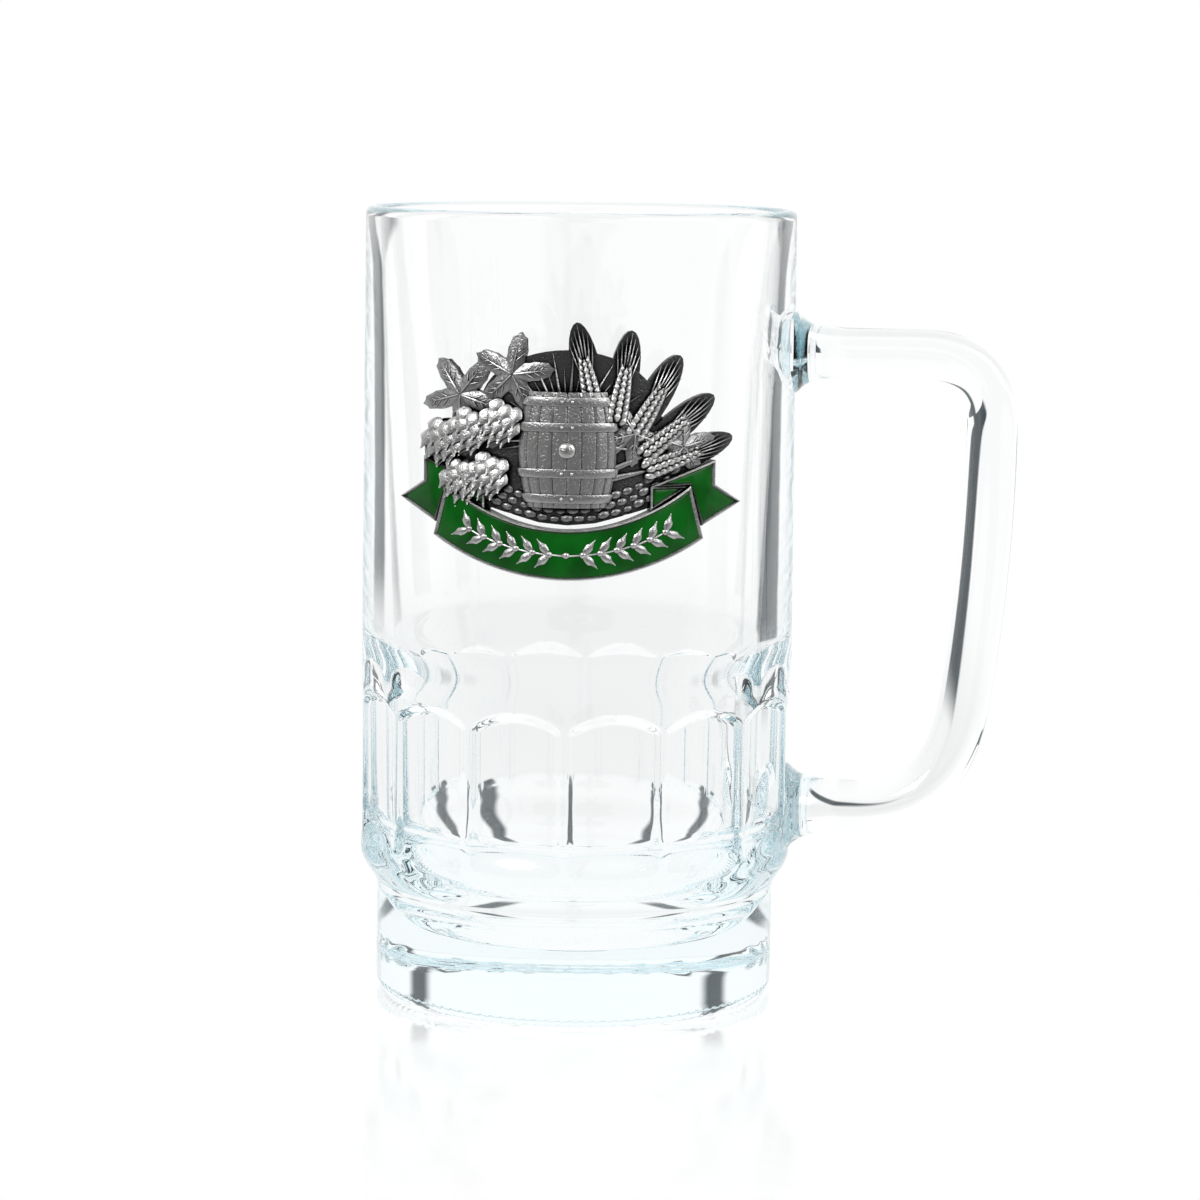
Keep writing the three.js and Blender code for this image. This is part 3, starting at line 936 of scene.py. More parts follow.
@dataclass
class Badge:
    """The cast relief badge: a cask between hops and barley over a ribbon, bent to the mug's front.

    Its pieces are drawn flat, with X across, Z up from the badge's centre and -Y towards the viewer, and are
    then laid on the wall.
    """

    centre: float = 108.4 * MM
    low_wall: Point = (41.9 * MM, 60 * MM)
    high_wall: Point = (41.3 * MM, 152 * MM)
    plate_back: float = 1.1 * MM
    plate_face: float = 2.3 * MM
    plate_margin: float = 0.4 * MM
    plate_step: float = 0.005 * MM
    cask_root: float = 0.3 * MM
    strip: float = 1.6 * MM
    ribbon_radius: float = 43 * MM
    ribbon_drop: float = 22.8 * MM
    ribbon_height: float = 9.2 * MM
    ribbon_span: float = 48 * MM
    ribbon_rise: float = 1.5 * MM
    ribbon_steps: int = 40
    fold_width: float = 6.8 * MM
    tail_length: float = 9.2 * MM
    tail_height: float = 9 * MM
    tail_drop: float = 3.4 * MM
    tail_tuck: float = 2.3 * MM
    tail_rise: float = 0.9 * MM
    enamel_depth: float = 0.6 * MM
    enamel_rim: float = 0.85 * MM
    enamel_lip: float = 0.08 * MM
    rim_ridge: float = 0.3 * MM
    rim_crest: float = 0.3
    bed_share: float = 0.68
    panel_root: float = 0.2 * MM
    barrel_width: float = 18 * MM
    barrel_bulge: float = 1.8 * MM
    barrel_height: float = 21 * MM
    barrel_base: float = -9.5 * MM
    barrel_rise: float = 2.4 * MM
    stave_count: int = 20
    stave_facets: int = 12
    stave_groove: float = 0.7 * MM
    hoop_width: float = 1.6 * MM
    hoop_rise: float = 0.3 * MM
    hoop_bevel: float = 0.15
    hoop_facets: int = 96
    hoop_places: tuple[float, ...] = (0.08, 0.3, 0.7, 0.92)
    cone_length: float = 10 * MM
    cone_width: float = 7 * MM
    cone_rise: float = 1.7 * MM
    cone_rows: int = 5
    leaf_rise: float = 0.8 * MM
    leaf_lobes: int = 5
    leaf_notch: float = 0.3
    leaf_tooth: float = 0.03
    lobe_steps: int = 14
    twig_spread: float = 38.0
    ear_length: float = 17 * MM
    ear_width: float = 4.6 * MM
    ear_rise: float = 1.2 * MM
    ear_rows: int = 9
    stalk_foot: float = -6 * MM
    stalk_rise: float = 0.3 * MM
    cones: tuple[tuple[float, ...], ...] = (
        (-10.5, 9, 205), (-16.5, 7.5, 200), (-22, 5.5, 190), (-13, -0.5, 200), (-18.5, -1.5, 190),
    )
    leaves: tuple[tuple[float, ...], ...] = (
        (-19.5, 10.5, -35, 7.5), (-10, 14.5, 10, 7.5), (12, 4, 40, 6), (20.5, 1.5, 75, 6),
    )
    ears: tuple[tuple[float, ...], ...] = (
        (5, 7, -12), (8.5, 5.5, 10), (11.5, 3, 30), (13, -0.5, 50), (13.5, -3, 70),
    )
    ground: tuple[tuple[float, ...], ...] = ((0, -2, 46, 20), (0, 9, 32, 20))
    ray_count: int = 30
    ray_fan: float = 100.0
    ray_short: float = 0.82
    ray_foot: float = 3 * MM
    cobble_rows: int = 3
    cobble_reach: int = 10
    cobble_first: float = 1.2 * MM
    cobble_step: float = 1.5 * MM
    garland_count: int = 13
    garland_fan: float = 27.0
    leaflet_spread: float = 48.0
    rivet_side: float = 0.9 * MM
    set_in: float = 0.1 * MM
    smooth_angle: float = 35.0
    ray: Seed = (0.8 * MM, 16 * MM, 0.7 * MM, 0.2)
    bung: Seed = (3 * MM, 3 * MM, 0.7 * MM, 0.0)
    rivet: Seed = (0.7 * MM, 0.7 * MM, 0.35 * MM, 0.0)
    cobble: Seed = (2.3 * MM, 1.7 * MM, 0.5 * MM, 0.0)
    stalk: Seed = (1.2 * MM, 1 * MM, 0.4 * MM, 0.2)
    leaflet: Seed = (1.5 * MM, 3.6 * MM, 0.45 * MM, 0.5)
    berry: Seed = (1.3 * MM, 1.3 * MM, 0.5 * MM, 0.0)
    stem: Seed = (0.5 * MM, 3.4 * MM, 0.3 * MM, 0.0)
    pewter: AntiquePewter = field(default_factory=AntiquePewter)
    enamel: GreenEnamel = field(default_factory=GreenEnamel)
    tape: BondingTape = field(default_factory=BondingTape)

    def wall(self, height: float) -> float:
        """The wall's radius at a height above the table."""
        share = (height - self.low_wall[1]) / (self.high_wall[1] - self.low_wall[1])
        return self.low_wall[0] + (self.high_wall[0] - self.low_wall[0]) * share

    def lay(self, piece: bpy.types.Object) -> None:
        """Cuts a flat piece into upright strips, notes each point's rise and lays it on the round wall.

        Args:
            piece: the flat piece.
        """
        activate(piece)
        bpy.ops.object.mode_set(mode="EDIT")
        reach = max(abs(corner[0]) for corner in piece.bound_box)
        for i in range(-int(reach / self.strip), int(reach / self.strip) + 1):
            bpy.ops.mesh.select_all(action="SELECT")
            bpy.ops.mesh.bisect(plane_co=(i * self.strip, 0, 0), plane_no=(1, 0, 0))
        bpy.ops.object.mode_set(mode="OBJECT")
        rise = piece.data.attributes.new(RISE, "FLOAT", "POINT")
        rise.data.foreach_set("value", [(-v.co.y - self.plate_face) / MM for v in piece.data.vertices])
        for vertex in piece.data.vertices:
            across, inward, up = vertex.co
            radius = self.wall(up + self.centre)
            angle = math.asin(across / (radius + self.plate_face))
            out = radius - inward
            vertex.co = (out * math.sin(angle), -out * math.cos(angle), up + self.centre)
        piece.data.update()

    def block(self, outline: Sequence[Point], back: float, face: float) -> bpy.types.Object:
        """A flat outline extruded between two distances from the wall.

        Args:
            outline: the outline's corners in order.
            back: the nearer distance.
            face: the farther one.

        Returns:
            The new object, closed all round.
        """
        piece = outline_face("block", [Vector((x, -back, y)) for x, y in outline])
        bpy.ops.object.mode_set(mode="EDIT")
        bpy.ops.mesh.extrude_region_move(TRANSFORM_OT_translate={"value": (0, back - face, 0)})
        face_outwards()
        return piece

    def placed(
        self,
        pattern: bpy.types.Object,
        x: float,
        y: float,
        out: float,
        angle: float,
        tilt: float = 0.0,
        scale: float = 1.0,
    ) -> bpy.types.Object:
        """A copy of a pattern, set down on the flat badge.

        Args:
            pattern: the object to copy, with its foot at the origin and its tip up Z.
            x: the foot's place across the badge.
            y: its place up the badge.
            out: its distance from the wall.
            angle: the tip's angle from straight up, clockwise, in degrees.
            tilt: how far the tip leans out, in degrees.
            scale: the copy's size.

        Returns:
            The copy, with its own mesh.
        """
        mesh = pattern.data.copy()
        turn = Matrix.Rotation(math.radians(angle), 4, "Y") @ Matrix.Rotation(math.radians(tilt), 4, "X")
        mesh.transform(Matrix.Translation((x, -out, y)) @ turn @ Matrix.Scale(scale, 4))
        copy = bpy.data.objects.new(pattern.name, mesh)
        bpy.context.scene.collection.objects.link(copy)
        return copy

    def oval(self, x: float, y: float, width: float, height: float, steps: int = 48) -> list[Point]:
        """An upright ellipse round a centre."""
        turns = [2 * math.pi * i / steps for i in range(steps)]
        return [(x + width / 2 * math.cos(t), y + height / 2 * math.sin(t)) for t in turns]

    def ribbon_front(self) -> list[Point]:
        """The ribbon's front panel, a band that hangs in a bow.

        Returns:
            The panel's outline, its lower edge first.
        """
        centre = (0.0, self.ribbon_radius - self.ribbon_drop)
        upper = self.ribbon_radius - self.ribbon_height
        low = math.degrees(math.asin(self.ribbon_span / 2 / self.ribbon_radius))
        high = math.degrees(math.asin((self.ribbon_span - self.ribbon_height / 2) / 2 / upper))
        below = arc_points(centre, self.ribbon_radius, -90 - low, -90 + low, self.ribbon_steps)
        return below + arc_points(centre, upper, -90 + high, -90 - high, self.ribbon_steps)

    def ribbon_right(self) -> tuple[list[Point], list[Point], list[Point]]:
        """The ribbon's right fold and tail, and the back that carries both under the front panel.

        Returns:
            The three outlines.
        """
        front = self.ribbon_front()
        low, corner = front[self.ribbon_steps], front[self.ribbon_steps + 1]
        centre = self.ribbon_radius - self.ribbon_drop
        inner = corner[0] - self.fold_width
        foot = centre - math.sqrt((self.ribbon_radius - self.ribbon_height) ** 2 - inner**2)
        fold = [corner, (inner, corner[1]), (inner, foot)]
        tail = [
            (inner, corner[1]),
            (corner[0] + self.tail_length / 2, corner[1] + self.tail_height / 2),
            (corner[0] + self.tail_length / 2, corner[1]),
            (corner[0] + self.tail_length, corner[1] - self.tail_drop),
            (low[0], low[1] + self.tail_tuck),
            corner,
        ]
        tuck = self.tail_tuck
        back = tail[:-2] + [(low[0] - tuck, low[1] + tuck), (inner, foot - tuck)]
        return fold, tail, back

    def leaf_outline(self, x: float, y: float, angle: float, size: float) -> list[Point]:
        """A lobed leaf with a finely toothed edge.

        Args:
            x: the leaf's middle, across the badge.
            y: its middle, up the badge.
            angle: its main lobe's angle in radians.
            size: the lobes' length.

        Returns:
            The leaf's outline.
        """
        points = []
        steps = self.lobe_steps * self.leaf_lobes
        for i in range(steps):
            turn = 2 * math.pi * i / steps
            radius = size * (1 - self.leaf_notch + self.leaf_notch * math.cos(self.leaf_lobes * turn))
            radius *= 1 + self.leaf_tooth * math.cos(math.pi * i)
            points.append((x + radius * math.sin(turn + angle), y + radius * math.cos(turn + angle)))
        return points

    def blade(self, x: float, y: float, angle: float, length: float, width: float) -> list[Point]:
        """An ellipse with its foot at a place and its tip along an angle from straight up, in radians.

        Args:
            x: the foot's place across the badge.
            y: its place up the badge.
            angle: the tip's angle.
            length: the ellipse's length.
            width: its width.

        Returns:
            The ellipse's outline.
        """
        middle = (x + length / 2 * math.sin(angle), y + length / 2 * math.cos(angle))
        points = self.oval(0, 0, width, length, 24)
        cos, sin = math.cos(angle), math.sin(angle)
        return [(middle[0] + u * cos + v * sin, middle[1] - u * sin + v * cos) for u, v in points]

    def plate(self) -> list[bpy.types.Object]:
        """The plate behind the relief, which follows its outlines with a margin.

        Returns:
            The plate's blocks.
        """
        outlines = [self.oval(x * MM, y * MM, w * MM, h * MM) for x, y, w, h in self.ground]
        for x, y, angle, size in self.leaves:
            outlines.append(self.leaf_outline(x * MM, y * MM, math.radians(angle), size * MM))
        margin = self.plate_margin
        sprigs = (
            (self.cones, self.cone_length, self.cone_width),
            (self.ears, self.ear_length, self.ear_width),
        )
        for places, length, width in sprigs:
            for x, y, angle in places:
                turn = math.radians(angle)
                foot = (x * MM - margin * math.sin(turn), y * MM - margin * math.cos(turn))
                outlines.append(self.blade(*foot, turn, length + 2 * margin, width + 2 * margin))
        back = self.ribbon_right()[2]
        outlines += [back, mirrored(back), self.ribbon_front()]
        blocks = []
        for i, outline in enumerate(outlines):
            face = self.plate_face - i * self.plate_step
            blocks.append(self.block(outline, self.plate_back, face))
        return blocks

    def rays(self) -> list[bpy.types.Object]:
        """Fine rays on the ground behind the cask.

        Returns:
            The rays.
        """
        pattern = kernel("ray", *self.ray)
        made = []
        for i in range(self.ray_count):
            angle = self.ray_fan * (2 * i / (self.ray_count - 1) - 1)
            long = 1.0 if i % 2 else self.ray_short
            made.append(self.placed(pattern, 0, self.ray_foot, self.plate_face, angle, 0, long))
        discard(pattern)
        return made

    def cask(self) -> list[bpy.types.Object]:
        """The cask with its staves, hoops, rivets and bung.

        Returns:
            The cask's objects.
        """
        half, top = self.barrel_width / 2 - self.barrel_bulge, self.barrel_height

        def radius(share: float) -> float:
            """The cask's radius at a share of its height."""
            return half + self.barrel_bulge * (1 - (2 * share - 1) ** 2)

        shares = [i / 24 for i in range(25)]
        profile = [(0.0, 0.0), (half * 0.8, 0.0)]
        profile += [(radius(s), top * s) for s in shares]
        profile += [(half * 0.8, top), (0.0, top)]
        body = turned("cask", profile, self.stave_facets * self.stave_count)
        pitch = 2 * math.pi / self.stave_count

        def groove(place: Vector) -> float:
            """How deep a point lies in the groove between two staves."""
            around = abs((math.atan2(place.x, place.y) / pitch) % 1.0 - 0.5) * 2
            share = min(max((around - 0.72) / 0.28, 0.0), 1.0)
            return share * share if 0.0 < place.z < top else 0.0

        sink(body, groove, self.stave_groove)
        parts = [body]
        for share in self.hoop_places:
            low = top * share - self.hoop_width / 2
            edge = self.hoop_bevel * self.hoop_width
            proud = [radius(share + (k - 0.5) * self.hoop_width / top) + self.hoop_rise * 2 for k in (0, 1)]
            ring = [
                (0.0, low),
                (proud[0] - edge, low),
                (proud[0], low + edge),
                (proud[1], low + self.hoop_width - edge),
                (proud[1] - edge, low + self.hoop_width),
                (0.0, low + self.hoop_width),
            ]
            parts.append(turned("hoop", ring, self.hoop_facets))
        cask = gather("cask", parts)
        activate(cask)
        bpy.ops.object.mode_set(mode="EDIT")
        bpy.ops.mesh.select_all(action="SELECT")
        flat = self.barrel_rise / (self.barrel_width / 2)
        bpy.ops.transform.resize(value=(1, flat, 1), center_override=(0, 0, 0))
        bpy.ops.transform.translate(value=(0, -self.plate_face, self.barrel_base))
        cut = (0, -self.plate_back - self.cask_root, 0)
        bpy.ops.mesh.bisect(plane_co=cut, plane_no=(0, 1, 0), clear_outer=True)
        bpy.ops.object.mode_set(mode="OBJECT")
        bung = kernel("bung", *self.bung)
        middle = self.barrel_base + self.barrel_height / 2
        out = self.plate_face + self.barrel_rise - self.set_in
        parts = [cask, self.placed(bung, 0, middle - self.bung[1] / 2, out, 0)]
        discard(bung)
        rivet = kernel("rivet", *self.rivet)
        for share in self.hoop_places:
            height = self.barrel_base + top * share - self.rivet[1] / 2
            lift = self.plate_face + flat * (radius(share) + 2 * self.hoop_rise)
            for side in (-self.rivet_side, self.rivet_side):
                parts.append(self.placed(rivet, side, height, lift, 0))
        discard(rivet)
        return parts

    def hop(self) -> bpy.types.Object:
        """One hop cone with its overlapping scales, foot at the origin and tip up Z.

        Returns:
            The cone's object.
        """
        length, width = self.cone_length, self.cone_width
        scale = kernel("scale", 0.44 * width, 0.44 * length, 0.06 * width, 0.5)
        core = kernel("core", 0.8 * width, 0.92 * length, 0.5 * self.cone_rise, 0.2)
        parts = [core]
        for row in range(self.cone_rows + 1):
            share = row / self.cone_rows
            spread = math.sin(math.pi * (0.25 + 0.68 * share))
            count = 1 if row == self.cone_rows else 3 - row % 2
            for i in range(count):
                side = i - (count - 1) / 2
                x = side * 0.29 * width * spread
                y = 0.56 * length * share - abs(side) * 0.02 * length
                out = self.cone_rise * (0.1 + 0.4 * spread) * math.cos(0.7 * side)
                parts.append(self.placed(scale, x, y, out, 16 * side, 20, 0.72 + 0.28 * spread))
        discard(scale)
        return gather("hop", parts)

    def ear(self) -> bpy.types.Object:
        """One ear of barley with its grains and beards, foot at the origin and tip up Z.

        Returns:
            The ear's object.
        """
        length, width = self.ear_length, self.ear_width
        body = length * 0.66
        seed = kernel("seed", 0.34 * width, 0.24 * body, 0.17 * width, 0.4)
        beard = kernel("beard", 0.42 * MM, length * 0.4, 0.5 * MM, 0.4)
        parts = []
        for row in range(self.ear_rows):
            share = row / (self.ear_rows - 1)
            y = body * 0.86 * share
            taper = 1 - 0.4 * share * share
            for side in (-1, 1):
                x = side * 0.17 * width * taper
                parts.append(self.placed(seed, x, y, 0.3 * self.ear_rise, 22 * side * taper, 8, taper))
            if row < self.ear_rows - 1:
                y += body * 0.43 / (self.ear_rows - 1)
                parts.append(self.placed(seed, 0, y, 0.6 * self.ear_rise, 0, 10, 0.9 * taper))
        for i in range(-3, 4):
            foot = body * (0.92 - 0.06 * abs(i))
            x, size = 0.08 * width * i, 1 - 0.05 * abs(i)
            parts.append(self.placed(beard, x, foot, 0.2 * self.ear_rise, 3.5 * i, 1, size))
        discard(seed, beard)
        return gather("ear", parts)

    def stones(self) -> list[bpy.types.Object]:
        """Rows of cobbles under the cask, along the ribbon's upper edge.

        Returns:
            The cobbles.
        """
        cobble = kernel("cobble", *self.cobble)
        centre = self.ribbon_radius - self.ribbon_drop
        made = []
        for row in range(self.cobble_rows):
            radius = self.ribbon_radius - self.ribbon_height - self.cobble_first - self.cobble_step * row
            for i in range(-self.cobble_reach, self.cobble_reach + 1):
                angle = (i + row / 2) * self.cobble[0] / radius
                x, y = radius * math.sin(angle), centre - radius * math.cos(angle)
                size = 1 - 0.12 * ((i * 7 + row * 3) % 3)
                made.append(self.placed(cobble, x, y, self.plate_face, -math.degrees(angle), 0, size))
        discard(cobble)
        return made

    def leaf(self, size: float) -> bpy.types.Object:
        """One leaf with raised veins, its middle at the origin and its main lobe up Z.

        Args:
            size: the lobes' length.

        Returns:
            The leaf's object.
        """
        outline = self.leaf_outline(0, 0, 0, size)
        piece = outline_face("leaf", [Vector((x, 0, y)) for x, y in outline])
        bpy.ops.object.mode_set(mode="EDIT")
        bpy.ops.mesh.extrude_region_move(TRANSFORM_OT_translate={"value": (0, -0.45 * self.leaf_rise, 0)})
        bpy.ops.mesh.poke(offset=0.9 * self.leaf_rise)
        face_outwards()
        parts = [piece]
        vein = kernel("vein", 0.5 * MM, 0.9 * size, 0.3 * MM, 0.5)
        twig = kernel("twig", 0.32 * MM, 0.34 * size, 0.22 * MM, 0.5)
        for lobe in range(self.leaf_lobes):
            angle = 360 * lobe / self.leaf_lobes
            turn = math.radians(angle)
            lean = -math.degrees(math.atan2(0.9 * self.leaf_rise, size))
            parts.append(self.placed(vein, 0, 0, 1.35 * self.leaf_rise, angle, lean))
            for share in (0.3, 0.5, 0.66):
                x, y = share * size * math.sin(turn), share * size * math.cos(turn)
                out = self.leaf_rise * (0.45 + 0.9 * (1 - share))
                for side in (-self.twig_spread, self.twig_spread):
                    parts.append(self.placed(twig, x, y, out, angle + side, lean, 1.25 - share))
        discard(vein, twig)
        return gather("leaf", parts)

    def panel(self, outline: Sequence[Point], rise: float) -> bpy.types.Object:
        """A ribbon panel with a thin ridged rim round a sunk bed.

        Args:
            outline: the panel's outline.
            rise: how far it stands out from the plate.

        Returns:
            The panel's object.
        """
        piece = self.block(outline, self.plate_back + self.panel_root, self.plate_face + rise)
        select_where(piece, lambda place: place.y < -self.plate_face)
        slopes = (
            (self.rim_crest, -self.rim_ridge),
            (1 - self.rim_crest, self.rim_ridge + self.enamel_depth),
        )
        for share, step in slopes:
            bpy.ops.mesh.inset(thickness=share * self.enamel_rim, use_even_offset=True)
            bpy.ops.transform.translate(value=(0, step, 0))
        bpy.ops.object.mode_set(mode="OBJECT")
        return piece

    def fill(self, name: str, outline: Sequence[Point], rise: float) -> bpy.types.Object:
        """The enamel in a panel's bed, with a soft lip at its edge.

        Args:
            name: the new object's name.
            outline: the panel's outline.
            rise: how far the panel stands out from the plate.

        Returns:
            The enamel's object.
        """
        top = self.plate_face + rise
        bed = inset(outline, self.bed_share * self.enamel_rim)
        piece = self.block(bed, top - self.enamel_depth, top - 2 * self.enamel_lip)
        piece.name = piece.data.name = name
        select_where(piece, lambda place: place.y < -top + 3 * self.enamel_lip)
        bpy.ops.mesh.inset(thickness=3 * self.enamel_lip, use_even_offset=True)
        bpy.ops.transform.translate(value=(0, -self.enamel_lip, 0))
        bpy.ops.object.mode_set(mode="OBJECT")
        return piece

    def garland(self) -> list[bpy.types.Object]:
        """A row of small leaves and berries in relief along the ribbon's front.

        Returns:
            The garland's objects.
        """
        leaflet = kernel("leaflet", *self.leaflet)
        berry = kernel("berry", *self.berry)
        stem = kernel("stem", *self.stem)
        centre = self.ribbon_radius - self.ribbon_drop
        radius = self.ribbon_radius - self.ribbon_height / 2
        out = self.plate_face + self.ribbon_rise - self.set_in
        made = []
        count = self.garland_count
        for i in range(count):
            angle = math.radians(self.garland_fan * (2 * i / (count - 1) - 1))
            x, y = radius * math.sin(angle), centre - radius * math.cos(angle)
            ahead = 90 - math.degrees(angle)
            way = 1 if i > count // 2 else -1
            made.append(self.placed(berry, x, y - self.berry[1] / 2, out, 0))
            if i == count // 2:
                continue
            back = ahead if way < 0 else ahead + 180
            made.append(self.placed(stem, x, y, out - self.set_in, back))
            for side in (-1, 1):
                made.append(self.placed(leaflet, x, y, out, back + 180 + side * self.leaflet_spread))
        discard(leaflet, berry, stem)
        return made

    def casting(self) -> bpy.types.Object:
        """Models every form of the casting flat, joins them and lays them on the wall.

        Returns:
            The casting's object.
        """
        fold, tail, _ = self.ribbon_right()
        parts = self.plate() + self.rays() + self.stones()
        for x, y, angle, size in self.leaves:
            leaf = self.leaf(size * MM)
            parts.append(self.placed(leaf, x * MM, y * MM, self.plate_face, angle))
            discard(leaf)
        for outline in (tail, mirrored(tail), fold, mirrored(fold)):
            parts.append(self.panel(outline, self.tail_rise))
        stalk = kernel("stalk", *self.stalk)
        ear = self.ear()
        for x, y, angle in self.ears:
            rise = y * MM - self.stalk_foot
            long = math.hypot(x * MM, rise) + self.ear_width / 2
            lean = math.degrees(math.atan2(x * MM, rise))
            stem = self.placed(stalk, 0, 0, 0, 0)
            stem.data.transform(Matrix.Diagonal((1, 1, long / self.stalk[1], 1)))
            parts.append(self.placed(stem, 0, self.stalk_foot, self.plate_face + self.stalk_rise, lean))
            discard(stem)
            parts.append(self.placed(ear, x * MM, y * MM, self.plate_face, angle))
        hop = self.hop()
        for x, y, angle in self.cones:
            parts.append(self.placed(hop, x * MM, y * MM, self.plate_face, angle))
        discard(stalk, ear, hop)
        parts += self.cask()
        parts.append(self.panel(self.ribbon_front(), self.ribbon_rise))
        parts += self.garland()
        piece = gather("badge_relief", parts)
        self.lay(piece)
        smooth(piece, self.smooth_angle)
        return piece

    def build(self, pad: bpy.types.Object) -> None:
        """Models and dresses the casting and its enamel, and dresses the pad behind it.

        Args:
            pad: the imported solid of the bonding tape.
        """
        pad.material_slots[0].material = self.tape.material()
        settle(self.casting(), Slot.PEWTER, self.pewter.material(), "badge_casting")
        fold, tail, _ = self.ribbon_right()
        green = self.enamel.material()
        fills = (
            ("enamel_front", self.ribbon_front(), self.ribbon_rise),
            ("enamel_left_fold", mirrored(fold), self.tail_rise),
            ("enamel_right_fold", fold, self.tail_rise),
            ("enamel_left_tail", mirrored(tail), self.tail_rise),
            ("enamel_right_tail", tail, self.tail_rise),
        )
        for node, outline, rise in fills:
            piece = self.fill(node.replace("enamel", "glaze"), outline, rise)
            self.lay(piece)
            smooth(piece, self.smooth_angle)
            settle(piece, Slot.ENAMEL, green, node)


@dataclass(frozen=True)
class PaintedDarkBand:
    """A dark band painted into the backdrop's and the sheet's glow round the table, in degrees from +Y
    towards +X.

    Its first edge is upright, and its second one leans in, so that the band is narrower higher up. On the
    floor it fades in over a range of distances from the mug, and it may fade out again over another. Only
    light that has passed through glass shows it, so it paints dark streaks into the glass.
    """

    start: float
    width: float
    high_width: float
    near: Point = (0.22, 0.40)
    end: Point | None = None


@dataclass
class Studio:
    """The white sheet, the windows and the dark bands painted round it, the soft boxes and the photograph's
    camera.
    """

    floor_drop: float = 0.2 * MM
    floor_size: float = 40.0
    # Dark bands painted into the backdrop's and the sheet's glow, which only rays through glass see: painted
    # dark streaks in the glass.
    painted_bands: tuple[PaintedDarkBand, ...] = (
        PaintedDarkBand(33, 25, 8, (0.24, 0.34)),
        PaintedDarkBand(-33, -16, -8, (0.28, 0.42)),
        PaintedDarkBand(86, 14, 8, (0.28, 0.42)),
        PaintedDarkBand(172, 16, 8, (0.28, 0.42)),
        PaintedDarkBand(22, 9, 0, (0.04, 0.06), (0.12, 0.16)),
        PaintedDarkBand(-22, -10, 0, (0.04, 0.06), (0.12, 0.16)),
    )
    lean: Point = (0.02, 0.11)
    painted_band_colour: Colour = (0.06, 0.075, 0.083)
    painted_band_edge: float = 2.0
    draw_in: float = 17.0
    draw_reach: Point = (0.6, 2.2)
    far_light: float = 1.04
    # The sheet's painted light levels for mirrors and glass: a brighter painted patch at the foot inside a
    # greyer ring of painted shade.
    near_light: float = 0.92
    pool_light: float = 1.0
    pool_edge: Point = (0.08, 0.14)
    far_edge: Point = (0.25, 0.55)
    front_edge: Point = (0.12, 0.40)
    front_top: Point = (0.15, 0.60)
    front_dim: float = 0.8
    front_through: float = 0.2
    bounces: int = 32
    sheet_edge: Point = (0.06, 0.17)
    # The sheet's glow next to the mug: a painted grey shade round the foot.
    sheet_glow: float = 0.46
    sheet_diffuse: float = 0.12
    sheet_gloss: float = 0.40
    sheet_roughness: float = 0.12
    camera_distance: float = 695 * MM
    camera_height: float = 170.5 * MM
    camera_azimuth: float = 2.4
    aim_height: float = 76 * MM
    aim_right: float = 4.4 * MM
    roll: float = 0.7
    focal_pixels: float = 3603.0
    sensor_width: float = 36.0
    clip_start: float = 0.01
    lamp_size: float = 0.5
    key_place: Place = (-0.5, -0.7, 0.7)
    key_power: float = 6.0
    fill_place: Place = (0.6, -0.5, 0.5)
    fill_power: float = 3.0

    def surround(
        self,
        nodes: Shader,
        place: bpy.types.NodeSocket,
        reach: bpy.types.NodeSocket | None = None,
    ) -> bpy.types.NodeSocket:
        """Where the painted dark bands lie, seen in a direction.

        Args:
            nodes: the tree to build in.
            place: the direction, or a place on the floor.
            reach: that place's distance from the mug, for the floor.

        Returns:
            0 on the painted dark bands as seen through the glass, and 1 elsewhere.
        """
        axes = nodes.node("SeparateXYZ")
        nodes.join(place, axes.inputs[0])
        bearing = nodes.math("ARCTAN2", axes.outputs["X"], axes.outputs["Y"])
        high_up = nodes.ramp(axes.outputs["Z"], *self.lean)
        soft = math.radians(self.painted_band_edge)
        shade: bpy.types.NodeSocket | float = 1.0
        # Each band darkens the glow in its directions, a painted dark refraction for rays through glass.
        for dark_band in self.painted_bands:
            side = math.copysign(1, dark_band.width)
            middle = math.radians(dark_band.start + dark_band.width / 2)
            from_middle = nodes.math("WRAP", nodes.math("SUBTRACT", bearing, middle), math.pi, -math.pi)
            half = math.radians(abs(dark_band.width) / 2)
            inside = nodes.math("MULTIPLY_ADD", from_middle, side, half)
            if reach:
                drawn = nodes.ramp(reach, *self.draw_reach)
                inside = nodes.math("MULTIPLY_ADD", drawn, math.radians(self.draw_in), inside)
            narrow = math.radians(abs(dark_band.high_width) - abs(dark_band.width))
            width = nodes.math("MULTIPLY_ADD", high_up, narrow, 2 * half)
            past = nodes.math("SUBTRACT", inside, width)
            dark = nodes.math("MULTIPLY", nodes.ramp(inside, -soft, soft), nodes.ramp(past, soft, -soft))
            if reach:
                dark = nodes.math("MULTIPLY", dark, nodes.ramp(reach, *dark_band.near))
                if dark_band.end:
                    dark = nodes.math("MULTIPLY", dark, nodes.ramp(reach, *reversed(dark_band.end)))
            elif dark_band.end:
                continue
            shade = nodes.math("MULTIPLY", shade, nodes.math("SUBTRACT", 1.0, dark))
        path = nodes.node("LightPath")
        passing = path.outputs["Is Transmission Ray"]
        hidden = nodes.math("SUBTRACT", 1.0, passing)
        return nodes.math("MAXIMUM", shade, hidden)

